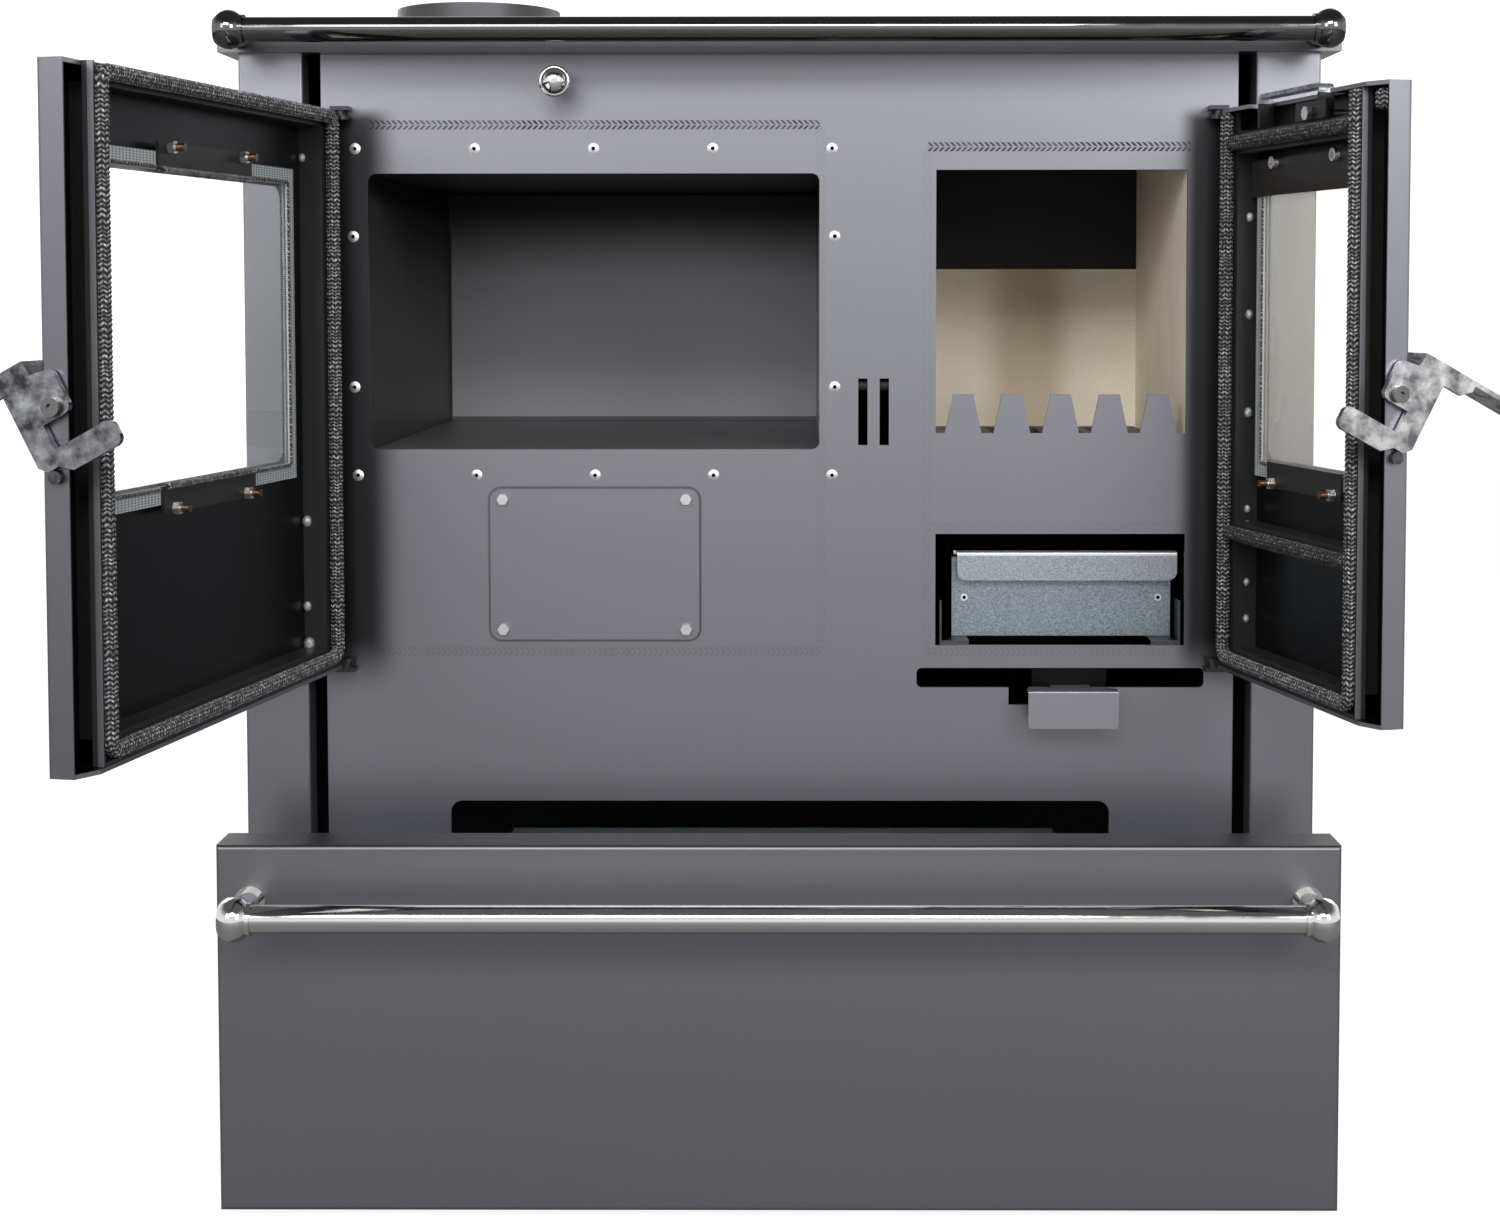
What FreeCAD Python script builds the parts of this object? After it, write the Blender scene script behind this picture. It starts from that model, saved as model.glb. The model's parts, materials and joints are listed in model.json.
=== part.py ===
import FreeCAD, Part
import math
import os

os.makedirs("parts", exist_ok=True)

# A wood cookstove in millimetres: X to the right, Y into the stove, Z up from the floor.
# Y = 0 is the front face of the front plate and X = 0 is the middle of the stove.
# The fired body hangs from the casing's top: a rise is measured up from the body's smoke floor,
# unless its comment or the list of places below says from what.

# Casing
casing_width = 800.0
casing_depth = 538.0
casing_height = 833.0
casing_sheet = 2.0
post_proud = 10.0
post_width = 47.6
post_return = 22.0
casing_fold = 2.0
base_sheet = 3.0
base_flange = 25.0

# Front plate and its openings
plate_width = 682.0
plate_sheet = 3.0
oven_left = -306.5
oven_width = 336.5
oven_rise = 261.0
oven_height = 206.0
oven_depth = 364.0
oven_sheet = 2.0
oven_corner = 6.0
oven_flange = 17.0
fire_left = 117.0
fire_width = 187.0
fire_top_rise = 469.5
fire_sill_rise = 273.0
tooth_count = 5
tooth_pitch = 36.5
tooth_base = 27.5
tooth_crest = 15.0
tooth_height = 29.0
ash_rise = 113.0
ash_height = 84.3
air_slot_left = 103.0
air_slot_width = 216.0
air_slot_rise = 81.2
air_slot_height = 14.8
air_slot_corner = 4.0
air_notch_left = 172.3
air_notch_width = 15.1
air_notch_depth = 13.2
latch_slot_width = 7.0
latch_slot_drop = 49.8
latch_slot_height = 50.0
drawer_gap_width = 497.0
drawer_gap_top = 273.0
drawer_gap_floor = 20.0
drawer_gap_corner = 9.0

# Rivets of the oven box
rivet_head_radius = 4.2
rivet_head_height = 1.3
rivet_radius = 2.0
rivet_bore = 1.5
rivet_pitch = 88.85
rivet_columns = 5
rivet_above_oven = 18.5
rivet_below_oven = 19.4
rivet_beside_oven = 11.4
rivet_side_gap = 112.4

# Soot hatch
hatch_centre_x = -138.7
hatch_rise = 174.6
hatch_width = 158.2
hatch_height = 115.3
hatch_sheet = 2.0
hatch_corner = 9.0
hatch_bolt_span_x = 137.2
hatch_bolt_span_z = 98.0
hatch_lap = 30.0
hatch_bolt_radius = 3.0
hatch_bolt_head = 4.3
hatch_bolt_head_height = 3.6

# Inner walls, firebox and bricks
inner_sheet = 2.0
inner_wall_offset = 3.0
inner_rear_gap = 33.0
body_height = 555.0
partition_x = 94.0
partition_drop = 33.0
brick_thickness = 26.0
firebox_depth = 244.0
rear_brick_rise = 398.0
side_brick_rise = 492.0
firebox_floor_sheet = 4.0
firebox_rise = 245.0
grate_lap = 12.0
grate_hole_margin = 14.0
grate_thickness = 14.0
grate_slots = 9
grate_slot_width = 8.0
grate_rim = 16.0

# Ash pan
pan_left = 131.0
pan_width = 166.5
pan_front = 24.0
pan_depth = 216.0
pan_rise = 3.6
pan_height = 60.5
pan_sheet = 1.5
pan_lip_reach = 9.0
pan_lip_drop = 20.0
pan_lip_leg = 38.0
pan_lip_corner = 7.0
pan_lip_rise = 3.0
pan_lip_shift = 3.5
pan_fold = 1.2
pan_rivet_inset = 9.5
pan_rivet_drop = 31.0
pan_rivet_head = 2.6
guide_height = 32.0
guide_foot = 22.0
guide_sheet = 1.5
guide_tab = 9.0
guide_left = 120.5
guide_right = 301.5

# Air slider
slider_tab_left = 184.7
slider_tab_width = 66.8
slider_tab_height = 28.0
slider_tab_reach = 26.0
slider_sheet = 1.5
slider_stem_width = 29.0
slider_tab_corner = 3.0
slider_fold = 1.2
slider_blade_height = 36.0
slider_blade_side = 13.5

# Damper
damper_x = -163.6
damper_drop = 22.5
damper_rod_radius = 4.0
damper_knob_radius = 11.5
damper_knob_length = 17.0
damper_knob_reach = 38.0
damper_plate_width = 180.0
damper_plate_depth = 150.0
damper_plate_sheet = 3.0
damper_seat_drop = 37.0
damper_hole_radius = 48.0

# Hob, cooking plate and flue collar
hob_overhang = 13.0
hob_front = 18.0
hob_back = 18.0
hob_height = 23.0
hob_sheet = 3.0
hob_rim = 33.0
hob_foot = 80.0
hob_fold = 2.5
hob_upright_inset = 45.0
cooking_plate_thickness = 10.0
cooking_plate_gap = 1.0
lid_x = 210.0
lid_y = 165.0
lid_radius = 110.0
lid_ledge = 8.0
lid_thickness = 5.0
lid_key_radius = 7.0
flue_x = -283.6
flue_from_rear = 128.2
flue_radius = 75.0
flue_wall = 2.5
flue_height = 60.7
flue_flange = 14.0
flue_flange_sheet = 4.0

# Rail on the hob and handle on the drawer
rail_radius = 9.0
rail_reach = 37.0
rail_drop = 11.0
rail_half_length = 404.0
rail_ball_radius = 14.2
rail_ball_length = 21.0
handle_radius = 9.8
handle_reach = 45.0
handle_z = 229.0
handle_half_length = 381.0
handle_ball_radius = 15.5
handle_ball_length = 22.0
ball_collar = 3.0
ball_cap_share = 0.7
ball_post_share = 0.55
ball_foot_share = 0.7

# Drawer
drawer_front_width = 792.0
drawer_front_floor = 6.0
drawer_front_top = 267.9
drawer_front_depth = 36.0
drawer_front_gap = 1.0
drawer_front_flange = 56.0
drawer_front_lip = 20.0
drawer_pull = 66.5
drawer_sheet = 2.0
drawer_fold = 3.0
drawer_box_width = 471.0
drawer_box_length = 327.0
drawer_box_floor = 32.0
drawer_box_top = 189.5
drawer_box_sheet = 1.5
drawer_face_lap = 5.0
drawer_guide_length = 320.0
drawer_guide_foot = 24.0

# Doors
hinge_x = 325.0
hinge_y = -7.0
hinge_pin_radius = 3.0
hinge_collar_radius = 5.0
hinge_lug_radius = 6.5
hinge_tab_thickness = 3.0
hinge_tab_half_width = 7.0
hinge_tab_reach = 12.5
oven_door_reach = 384.0
fire_door_reach = 243.0
oven_door_angle = 100.6
fire_door_angle = 103.3
door_rise = 98.5
door_height = 414.0
door_thickness = 30.0
door_sheet = 1.5
door_return = 16.5
door_cap = 24.0
door_cap_sheet = 3.0
door_hinge_lap = 12.0
door_corner = 2.5
frame_hinge_offset = 11.0
frame_free_inset = 20.5
frame_sheet = 2.0
frame_channel = 15.0
frame_channel_leg = 5.0
rope_radius = 5.25
rope_bend = 8.0
rope_seat = 11.0
cross_rope_above_fire = 17.0

# Door glass
window_rise = 159.5
window_height = 196.0
window_corner = 8.0
oven_window_near = 65.0
oven_window_width = 252.0
fire_window_near = 48.5
fire_window_width = 134.0
glass_lap = 12.0
glass_thickness = 4.0
tape_thickness = 1.2
tape_lap = 10.0
clip_height = 18.0
clip_sheet = 2.0
oven_clip_width = 134.0
fire_clip_width = 112.0
retainer_width = 172.0
retainer_drop = 26.0
oven_stud_span = 104.0
fire_stud_span = 92.0
stud_radius = 2.5
stud_length = 19.0
nut_radius = 4.4
nut_height = 4.0
stud_socket = 2.2
stud_socket_depth = 2.2

# Latch levers, drawn in their own plane: u towards the stove, w upwards, from the pivot
lever_sheet = 4.0
lever_standoff = 1.5
lever_pivot_y = -20.0
lever_pivot_rise = 215.3
lever_tilt = 28.0
lever_pivot_radius = 3.0
lever_pivot_head = 5.6
lever_head_height = 3.5
lever_socket = 2.3
lever_socket_depth = 2.0
lever_back_u = -25.0
lever_body_width = 14.8
lever_arm_tip_u = 29.3
lever_arm_floor_w = -37.5
lever_arm_height = 15.6
lever_arm_root_u = -13.0
lever_arm_cut = 7.5
lever_heel_w = -31.5
lever_heel_cut = 4.5
lever_lobe_tip_u = 10.0
lever_lobe_floor_w = -6.7
lever_lobe_top_w = 20.0
lever_notch_u = -4.0
lever_notch_w = 22.4
lever_crest_u = -5.0
lever_neck_top_w = 32.0
lever_neck_height = 13.0
lever_neck_end_u = -45.0
lever_neck_cut = 6.0
lever_grip_width = 36.0
lever_grip_length = 126.0
lever_grip_sheet = 3.0
stop_u = -19.0
stop_radius = 4.0
stop_height = 5.0
stop_gap = 0.3
keeper_radius = 4.0
keeper_lap = 7.0
keeper_gap = 0.4

# Air-wash slider in the top of the fire door
wash_bar_left = 163.0
wash_bar_right = 256.5
wash_bar_depth = 11.0
wash_bar_rise = 5.5
wash_sheet = 2.5
wash_bar_height = 3.0
wash_bend = 5.0
wash_leg_width = 44.0
wash_leg_rise = 8.0
wash_bolt_x = 176.0
wash_bolt_drop = 14.0
wash_bolt_radius = 3.0
wash_bolt_head = 5.0
wash_bolt_head_height = 4.0
wash_travel = 8.0

# Fits
pin_clearance = 0.05
slide_clearance = 0.3
hole_clearance = 0.05

# Places that follow from the sizes above
casing_half = casing_width / 2
plate_half = plate_width / 2
inner_half = plate_half - inner_wall_offset
inner_depth = casing_depth - inner_rear_gap
inner_left_face = -inner_half + inner_sheet
inner_right_face = inner_half - inner_sheet
oven_right = oven_left + oven_width
smoke_floor_z = casing_height - body_height
partition_top = casing_height - partition_drop
oven_floor = smoke_floor_z + oven_rise
oven_top = oven_floor + oven_height
fire_top = smoke_floor_z + fire_top_rise
fire_sill = smoke_floor_z + fire_sill_rise
ash_floor = smoke_floor_z + ash_rise
air_slot_floor = smoke_floor_z + air_slot_rise
hatch_centre_z = smoke_floor_z + hatch_rise
rear_brick_top = smoke_floor_z + rear_brick_rise
side_brick_top = smoke_floor_z + side_brick_rise
firebox_floor_z = smoke_floor_z + firebox_rise
pan_floor = ash_floor + pan_rise
damper_z = casing_height - damper_drop
damper_seat_z = casing_height - damper_seat_drop
fire_right = fire_left + fire_width
flue_y = casing_depth - flue_from_rear
firebox_floor_top = firebox_floor_z + firebox_floor_sheet
hob_floor = casing_height
hob_top = casing_height + hob_height
flue_top = hob_top + flue_height
rail_z = hob_top - rail_drop
cooking_plate_top = hob_top - cooking_plate_gap
cooking_plate_floor = cooking_plate_top - cooking_plate_thickness
hob_side = casing_half + hob_overhang
hob_rear = casing_depth + hob_back
drawer_back = -post_proud - drawer_front_gap - drawer_pull
drawer_face = drawer_back - drawer_front_depth
door_floor = smoke_floor_z + door_rise
door_top = door_floor + door_height
window_floor = door_floor + window_rise
window_top = window_floor + window_height
lever_pivot_z = door_floor + lever_pivot_rise
latch_slot_floor = lever_pivot_z - latch_slot_drop
wash_bar_top = door_top + wash_bar_rise
wash_bolt_z = door_top - wash_bolt_drop
door_face = -door_thickness
door_inner_face = door_face + door_sheet
cross_rope_top = fire_top + cross_rope_above_fire
cross_rope_middle = ash_floor + ash_height + rope_radius
oven_free_x = -hinge_x + oven_door_reach
fire_free_x = hinge_x - fire_door_reach
rope_y = -rope_seat + rope_radius


def vec(x, y, z):
    return FreeCAD.Vector(x, y, z)


def block(x0, x1, y0, y1, z0, z1):
    """A box between two values on each axis, in either order."""
    low = vec(min(x0, x1), min(y0, y1), min(z0, z1))
    return Part.makeBox(abs(x1 - x0), abs(y1 - y0), abs(z1 - z0), low)


def rod(x, y, z, direction, radius, length):
    return Part.makeCylinder(radius, length, vec(x, y, z), vec(*direction))


def fused(shapes):
    """Several overlapping or touching shapes as one solid."""
    return shapes[0].multiFuse(shapes[1:]).removeSplitter()


def grouped(shapes):
    """Separate solids kept apart in one file."""
    return Part.makeCompound(shapes)


def ring(x0, x1, y0, y1, z0, z1, wall_x, wall_y):
    """A rectangular ring in plan: a box with its middle cut out."""
    hole = block(x0 + wall_x, x1 - wall_x, y0 + wall_y, y1 - wall_y, z0 - 1, z1 + 1)
    return block(x0, x1, y0, y1, z0, z1).cut(hole)


def upright_ring(x0, x1, y0, y1, z0, z1, wall):
    """A rectangular ring standing in the XZ plane."""
    hole = block(x0 + wall, x1 - wall, y0 - 1, y1 + 1, z0 + wall, z1 - wall)
    return block(x0, x1, y0, y1, z0, z1).cut(hole)


def rounded(shape, direction, radius, keep=lambda middle: True):
    """The shape with its straight edges along one direction rounded."""
    along = vec(*direction)
    edges = []
    for edge in shape.Edges:
        if not isinstance(edge.Curve, Part.Line):
            continue
        run = edge.Vertexes[-1].Point.sub(edge.Vertexes[0].Point)
        if run.cross(along).Length < 1e-6 * run.Length and keep(edge.CenterOfMass):
            edges.append(edge)
    return shape.makeFillet(radius, edges)


def spun(points, origin, across, along):
    """A solid of revolution from (distance along, radius) points; a middle point makes an arc."""
    def place(point):
        start = vec(*origin)
        return start.add(vec(*along).multiply(point[0])).add(vec(*across).multiply(point[1]))
    edges = []
    last = points[0]
    for item in points[1:]:
        if len(item) == 3:
            middle, end = item[1], item[2]
            edges.append(Part.Arc(place(last), place(middle), place(end)).toShape())
            last = end
        else:
            edges.append(Part.LineSegment(place(last), place(item)).toShape())
            last = item
    edges.append(Part.LineSegment(place(last), place(points[0])).toShape())
    face = Part.Face(Part.Wire(edges))
    return face.revolve(vec(*origin), vec(*along), 360)


def save(name, shape):
    shape.exportStep("parts/" + name + ".step")


# Casing: a flat base plate with upturned flanges, two folded side panels and a rear panel

def base_plate():
    half = casing_half - casing_sheet
    rear = casing_depth - casing_sheet
    floor = block(-half, half, -post_proud + casing_sheet, rear, 0, base_sheet)
    top = base_sheet + base_flange
    sides = []
    for sign in (-1, 1):
        sides.append(block(sign * half, sign * (half - casing_sheet), 0, rear, 0, top))
    back = block(-half, half, rear - casing_sheet, rear, 0, top)
    return fused([floor, back] + sides)


def side_panel(sign):
    outer = sign * casing_half
    inner = sign * (casing_half - post_width)
    wall = block(outer, outer - sign * casing_sheet, -post_proud, casing_depth, base_sheet, casing_height)
    post = block(outer, inner, -post_proud, -post_proud + casing_sheet, base_sheet, casing_height)
    fold = block(inner, inner + sign * casing_sheet, -post_proud, -post_proud + post_return,
                 base_sheet, casing_height)
    return rounded(fused([wall, post, fold]), (0, 0, 1), casing_fold,
                   lambda middle: abs(middle.y + post_proud) < 1e-3)


def rear_panel():
    half = casing_half - casing_sheet
    return block(-half, half, casing_depth - casing_sheet, casing_depth, base_sheet, casing_height)


# Front plate: one sheet with every opening cut in it, and the log guard's teeth left standing

def fire_opening():
    """The fire opening as a prism whose lower edge follows the teeth."""
    side = (fire_width - (tooth_count - 1) * tooth_pitch - tooth_base) / 2
    slope = (tooth_base - tooth_crest) / 2
    crest = fire_sill + tooth_height
    outline = [(fire_left, fire_top), (fire_left, fire_sill)]
    for index in range(tooth_count):
        start = fire_left + side + index * tooth_pitch
        outline.append((start, fire_sill))
        outline.append((start + slope, crest))
        outline.append((start + slope + tooth_crest, crest))
        outline.append((start + tooth_base, fire_sill))
    outline += [(fire_right, fire_sill), (fire_right, fire_top)]
    points = [vec(x, -1, z) for x, z in outline]
    return Part.Face(Part.makePolygon(points + points[:1])).extrude(vec(0, plate_sheet + 2, 0))


def rivet_places():
    """Centres of the blind rivets round the oven opening."""
    middle = (oven_left + oven_right) / 2
    span = rivet_pitch * (rivet_columns - 1)
    places = []
    for z in (oven_top + rivet_above_oven, oven_floor - rivet_below_oven):
        for index in range(rivet_columns):
            places.append((middle - span / 2 + index * rivet_pitch, z))
    centre = oven_floor + oven_height / 2
    for x in (oven_left - rivet_beside_oven, oven_right + rivet_beside_oven):
        for sign in (-1, 1):
            places.append((x, centre + sign * rivet_side_gap / 2))
    return places


def hatch_bolt_places():
    places = []
    for sign_x in (-1, 1):
        for sign_z in (-1, 1):
            places.append((hatch_centre_x + sign_x * hatch_bolt_span_x / 2,
                           hatch_centre_z + sign_z * hatch_bolt_span_z / 2))
    return places


def through(x0, x1, z0, z1, corner=None):
    """A cutter through the front plate, with rounded corners where a radius is given."""
    cutter = block(x0, x1, -1, plate_sheet + 1, z0, z1)
    return rounded(cutter, (0, 1, 0), corner) if corner else cutter


def lever_middle(side):
    """The X of the middle of a latch lever's sheet, beside its door's free edge."""
    offset = lever_standoff + lever_sheet / 2
    return oven_free_x + offset if side < 0 else fire_free_x - offset


def front_plate():
    plate = block(-plate_half, plate_half, 0, plate_sheet, base_sheet, casing_height)
    cutters = [through(oven_left, oven_right, oven_floor, oven_top, oven_corner)]
    cutters.append(fire_opening())
    cutters.append(through(fire_left, fire_right, ash_floor, ash_floor + ash_height))
    cutters.append(through(air_slot_left, air_slot_left + air_slot_width, air_slot_floor,
                           air_slot_floor + air_slot_height, air_slot_corner))
    cutters.append(through(air_notch_left, air_notch_left + air_notch_width,
                           air_slot_floor - air_notch_depth, air_slot_floor + air_slot_corner))
    for side in (-1, 1):
        middle = lever_middle(side)
        cutters.append(through(middle - latch_slot_width / 2, middle + latch_slot_width / 2,
                               latch_slot_floor, latch_slot_floor + latch_slot_height))
    cutters.append(through(-drawer_gap_width / 2, drawer_gap_width / 2, drawer_gap_floor,
                           drawer_gap_top, drawer_gap_corner))
    cutters.append(through(hatch_centre_x - hatch_width / 2 + hatch_lap,
                           hatch_centre_x + hatch_width / 2 - hatch_lap,
                           hatch_centre_z - hatch_height / 2 + hatch_lap,
                           hatch_centre_z + hatch_height / 2 - hatch_lap))
    for x, z in rivet_places():
        cutters.append(rod(x, -1, z, (0, 1, 0), rivet_radius + hole_clearance, plate_sheet + 2))
    for x, z in hatch_bolt_places():
        cutters.append(rod(x, -1, z, (0, 1, 0), hatch_bolt_radius + hole_clearance, plate_sheet + 2))
    cutters.append(rod(damper_x, -1, damper_z, (0, 1, 0), damper_rod_radius + pin_clearance,
                       plate_sheet + 2))
    return plate.cut(cutters)


def oven_box():
    """A folded five-sided box with a flange against the back of the front plate."""
    back = plate_sheet
    sheet = oven_sheet
    shell = block(oven_left - sheet, oven_right + sheet, back, back + oven_depth + sheet,
                  oven_floor - sheet, oven_top + sheet)
    flange = block(oven_left - oven_flange, oven_right + oven_flange, back, back + sheet,
                   oven_floor - rivet_below_oven - oven_flange / 2,
                   oven_top + rivet_above_oven + oven_flange / 2)
    inside = block(oven_left, oven_right, back - 1, back + oven_depth, oven_floor, oven_top)
    holes = []
    for x, z in rivet_places():
        holes.append(rod(x, back - 1, z, (0, 1, 0), rivet_radius + hole_clearance, sheet + 2))
    return fused([shell, flange]).cut([inside] + holes)


def oven_rivets():
    """Domed blind rivets through the plate and the oven flange."""
    depth = plate_sheet + oven_sheet + rivet_head_height
    dome = (rivet_head_radius ** 2 + rivet_head_height ** 2) / (2 * rivet_head_height)
    rivets = []
    for x, z in rivet_places():
        ball = Part.makeSphere(dome, vec(x, dome - rivet_head_height, z))
        reach = rivet_head_radius
        head = ball.common(block(x - reach, x + reach, -reach, 0, z - reach, z + reach))
        bore = rod(x, -reach, z, (0, 1, 0), rivet_bore, reach + plate_sheet)
        rivets.append(fused([head, rod(x, 0, z, (0, 1, 0), rivet_radius, depth)]).cut(bore))
    return grouped(rivets)


def soot_hatch_cover():
    x0 = hatch_centre_x - hatch_width / 2
    z0 = hatch_centre_z - hatch_height / 2
    cover = block(x0, x0 + hatch_width, -hatch_sheet, 0, z0, z0 + hatch_height)
    cover = rounded(cover, (0, 1, 0), hatch_corner)
    holes = []
    for x, z in hatch_bolt_places():
        holes.append(rod(x, -hatch_sheet - 1, z, (0, 1, 0), hatch_bolt_radius + hole_clearance,
                         hatch_sheet + 2))
    return cover.cut(holes)


def hexagon(x, y, z, radius, height):
    """A hexagonal head or nut, its axis along Y, from y towards +Y."""
    points = []
    for index in range(7):
        angle = math.radians(60 * index)
        points.append(vec(x + radius * math.cos(angle), y, z + radius * math.sin(angle)))
    return Part.Face(Part.makePolygon(points)).extrude(vec(0, height, 0))


def soot_hatch_bolts():
    bolts = []
    for x, z in hatch_bolt_places():
        head = hexagon(x, -hatch_sheet - hatch_bolt_head_height, z, hatch_bolt_head,
                       hatch_bolt_head_height)
        shank = rod(x, -hatch_sheet, z, (0, 1, 0), hatch_bolt_radius, hatch_sheet + 3 * plate_sheet)
        bolts.append(fused([head, shank]))
    return grouped(bolts)


# Inner body: welded walls that carry the smoke round the oven, and the lined firebox

def inner_side_walls():
    walls = []
    for sign in (-1, 1):
        face = sign * inner_half
        walls.append(block(face, face - sign * inner_sheet, plate_sheet, inner_depth,
                           smoke_floor_z + inner_sheet, casing_height))
    return grouped(walls)


def inner_rear_wall():
    return block(-inner_half, inner_half, inner_depth, inner_depth + inner_sheet,
                 smoke_floor_z + inner_sheet, casing_height)


def smoke_floor():
    return block(-inner_half, inner_half, plate_sheet, inner_depth + inner_sheet,
                 smoke_floor_z, smoke_floor_z + inner_sheet)


def firebox_partition():
    return block(partition_x, partition_x + inner_sheet, plate_sheet, firebox_depth + brick_thickness,
                 smoke_floor_z + inner_sheet, partition_top)


def grate_hole():
    """Plan limits of the hole in the firebox floor, over which the grate lies."""
    return (fire_left + grate_hole_margin, fire_right - grate_hole_margin,
            plate_sheet + 2 * grate_hole_margin, firebox_depth - grate_hole_margin)


def firebox_floor():
    x0, x1, y0, y1 = grate_hole()
    floor = block(partition_x + inner_sheet, inner_right_face, plate_sheet, firebox_depth + brick_thickness,
                  firebox_floor_z, firebox_floor_top)
    return floor.cut(block(x0, x1, y0, y1, firebox_floor_z - 1, firebox_floor_top + 1))


def side_bricks():
    left = block(partition_x + inner_sheet, fire_left, plate_sheet, firebox_depth,
                 firebox_floor_top, side_brick_top)
    right = block(fire_right, inner_right_face, plate_sheet, firebox_depth,
                  firebox_floor_top, side_brick_top)
    return grouped([left, right])


def rear_brick():
    return block(partition_x + inner_sheet, inner_right_face, firebox_depth,
                 firebox_depth + brick_thickness, firebox_floor_top, rear_brick_top)


def firebox_rear_plate():
    """A steel plate standing on the rear brick, behind the side bricks."""
    return block(partition_x + inner_sheet, inner_right_face, firebox_depth,
                 firebox_depth + firebox_floor_sheet, rear_brick_top, partition_top)


def fire_grate():
    x0, x1, y0, y1 = grate_hole()
    x0, x1, y0, y1 = x0 - grate_lap, x1 + grate_lap, y0 - grate_lap, y1 + grate_lap
    grate = block(x0, x1, y0, y1, firebox_floor_top, firebox_floor_top + grate_thickness)
    pitch = (x1 - x0 - 2 * grate_rim) / grate_slots
    slots = []
    for index in range(grate_slots):
        middle = x0 + grate_rim + (index + 0.5) * pitch
        slots.append(block(middle - grate_slot_width / 2, middle + grate_slot_width / 2,
                           y0 + grate_rim, y1 - grate_rim, firebox_floor_z,
                           firebox_floor_top + 2 * grate_thickness))
    return grate.cut(slots)


# Ash pan in its guides

def ash_pan_guides():
    """Two angle strips, each welded to the back of the front plate by a tab below the ash opening."""
    guides = []
    top = pan_floor - slide_clearance
    for sign, wall in ((-1, guide_left), (1, guide_right)):
        foot = block(wall, wall - sign * guide_foot, plate_sheet, pan_front + pan_depth,
                     top - guide_sheet, top)
        leg = block(wall, wall - sign * guide_sheet, plate_sheet, pan_front + pan_depth,
                    top - guide_sheet, top - guide_sheet + guide_height)
        tab = block(wall, wall - sign * guide_foot, plate_sheet, plate_sheet + guide_sheet,
                    ash_floor - guide_tab, top)
        guides.append(fused([foot, leg, tab]))
    return grouped(guides)


def pan_rivet_places():
    z = pan_floor + pan_height - pan_rivet_drop
    return [(pan_left + pan_rivet_inset, z), (pan_left + pan_width - pan_rivet_inset, z)]


def ash_pan():
    pan = block(pan_left, pan_left + pan_width, pan_front, pan_front + pan_depth,
                pan_floor, pan_floor + pan_height)
    inside = block(pan_left + pan_sheet, pan_left + pan_width - pan_sheet, pan_front + pan_sheet,
                   pan_front + pan_depth - pan_sheet, pan_floor + pan_sheet, pan_floor + pan_height + 1)
    holes = []
    for x, z in pan_rivet_places():
        holes.append(rod(x, pan_front - 1, z, (0, 1, 0), rivet_radius + hole_clearance, pan_sheet + 2))
    return pan.cut([inside] + holes)


def ash_pan_lip():
    """A folded pull: a leg inside the pan, a web over its front wall and a lip that hangs in front."""
    top = pan_floor + pan_height + pan_lip_rise
    x0 = pan_left + pan_sheet
    x1 = pan_left + pan_width - pan_sheet
    left = pan_left + pan_lip_shift
    right = pan_left + pan_width + pan_lip_shift
    leg_y = pan_front + pan_sheet
    lip_y = pan_front - pan_lip_reach
    leg = block(x0, x1, leg_y, leg_y + pan_sheet, top - pan_lip_leg, top + pan_sheet)
    web = block(left, right, lip_y, leg_y + pan_sheet, top, top + pan_sheet)
    lip = block(left, right, lip_y, lip_y + pan_sheet, top - pan_lip_drop, top + pan_sheet)
    lip = rounded(lip, (0, 1, 0), pan_lip_corner, lambda middle: middle.z < top - pan_lip_drop / 2)
    holes = []
    for x, z in pan_rivet_places():
        holes.append(rod(x, leg_y - 1, z, (0, 1, 0), rivet_radius + hole_clearance, pan_sheet + 2))
    pull = rounded(fused([leg, web, lip]), (1, 0, 0), pan_fold,
                   lambda middle: middle.y < lip_y + 1e-3 and middle.z > top)
    return pull.cut(holes)


def ash_pan_rivets():
    depth = 2 * pan_sheet + 1
    rivets = []
    for x, z in pan_rivet_places():
        shank = rod(x, pan_front, z, (0, 1, 0), rivet_radius, depth)
        head = rod(x, pan_front - rivet_head_height, z, (0, 1, 0), pan_rivet_head, rivet_head_height)
        bore = rod(x, pan_front - 2 * rivet_head_height, z, (0, 1, 0), rivet_bore,
                   2 * rivet_head_height + pan_sheet)
        rivets.append(fused([head, shank]).cut(bore))
    return grouped(rivets)


# Primary air slider: a pull tab, a web that rides in the slot and a blade behind the plate

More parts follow.
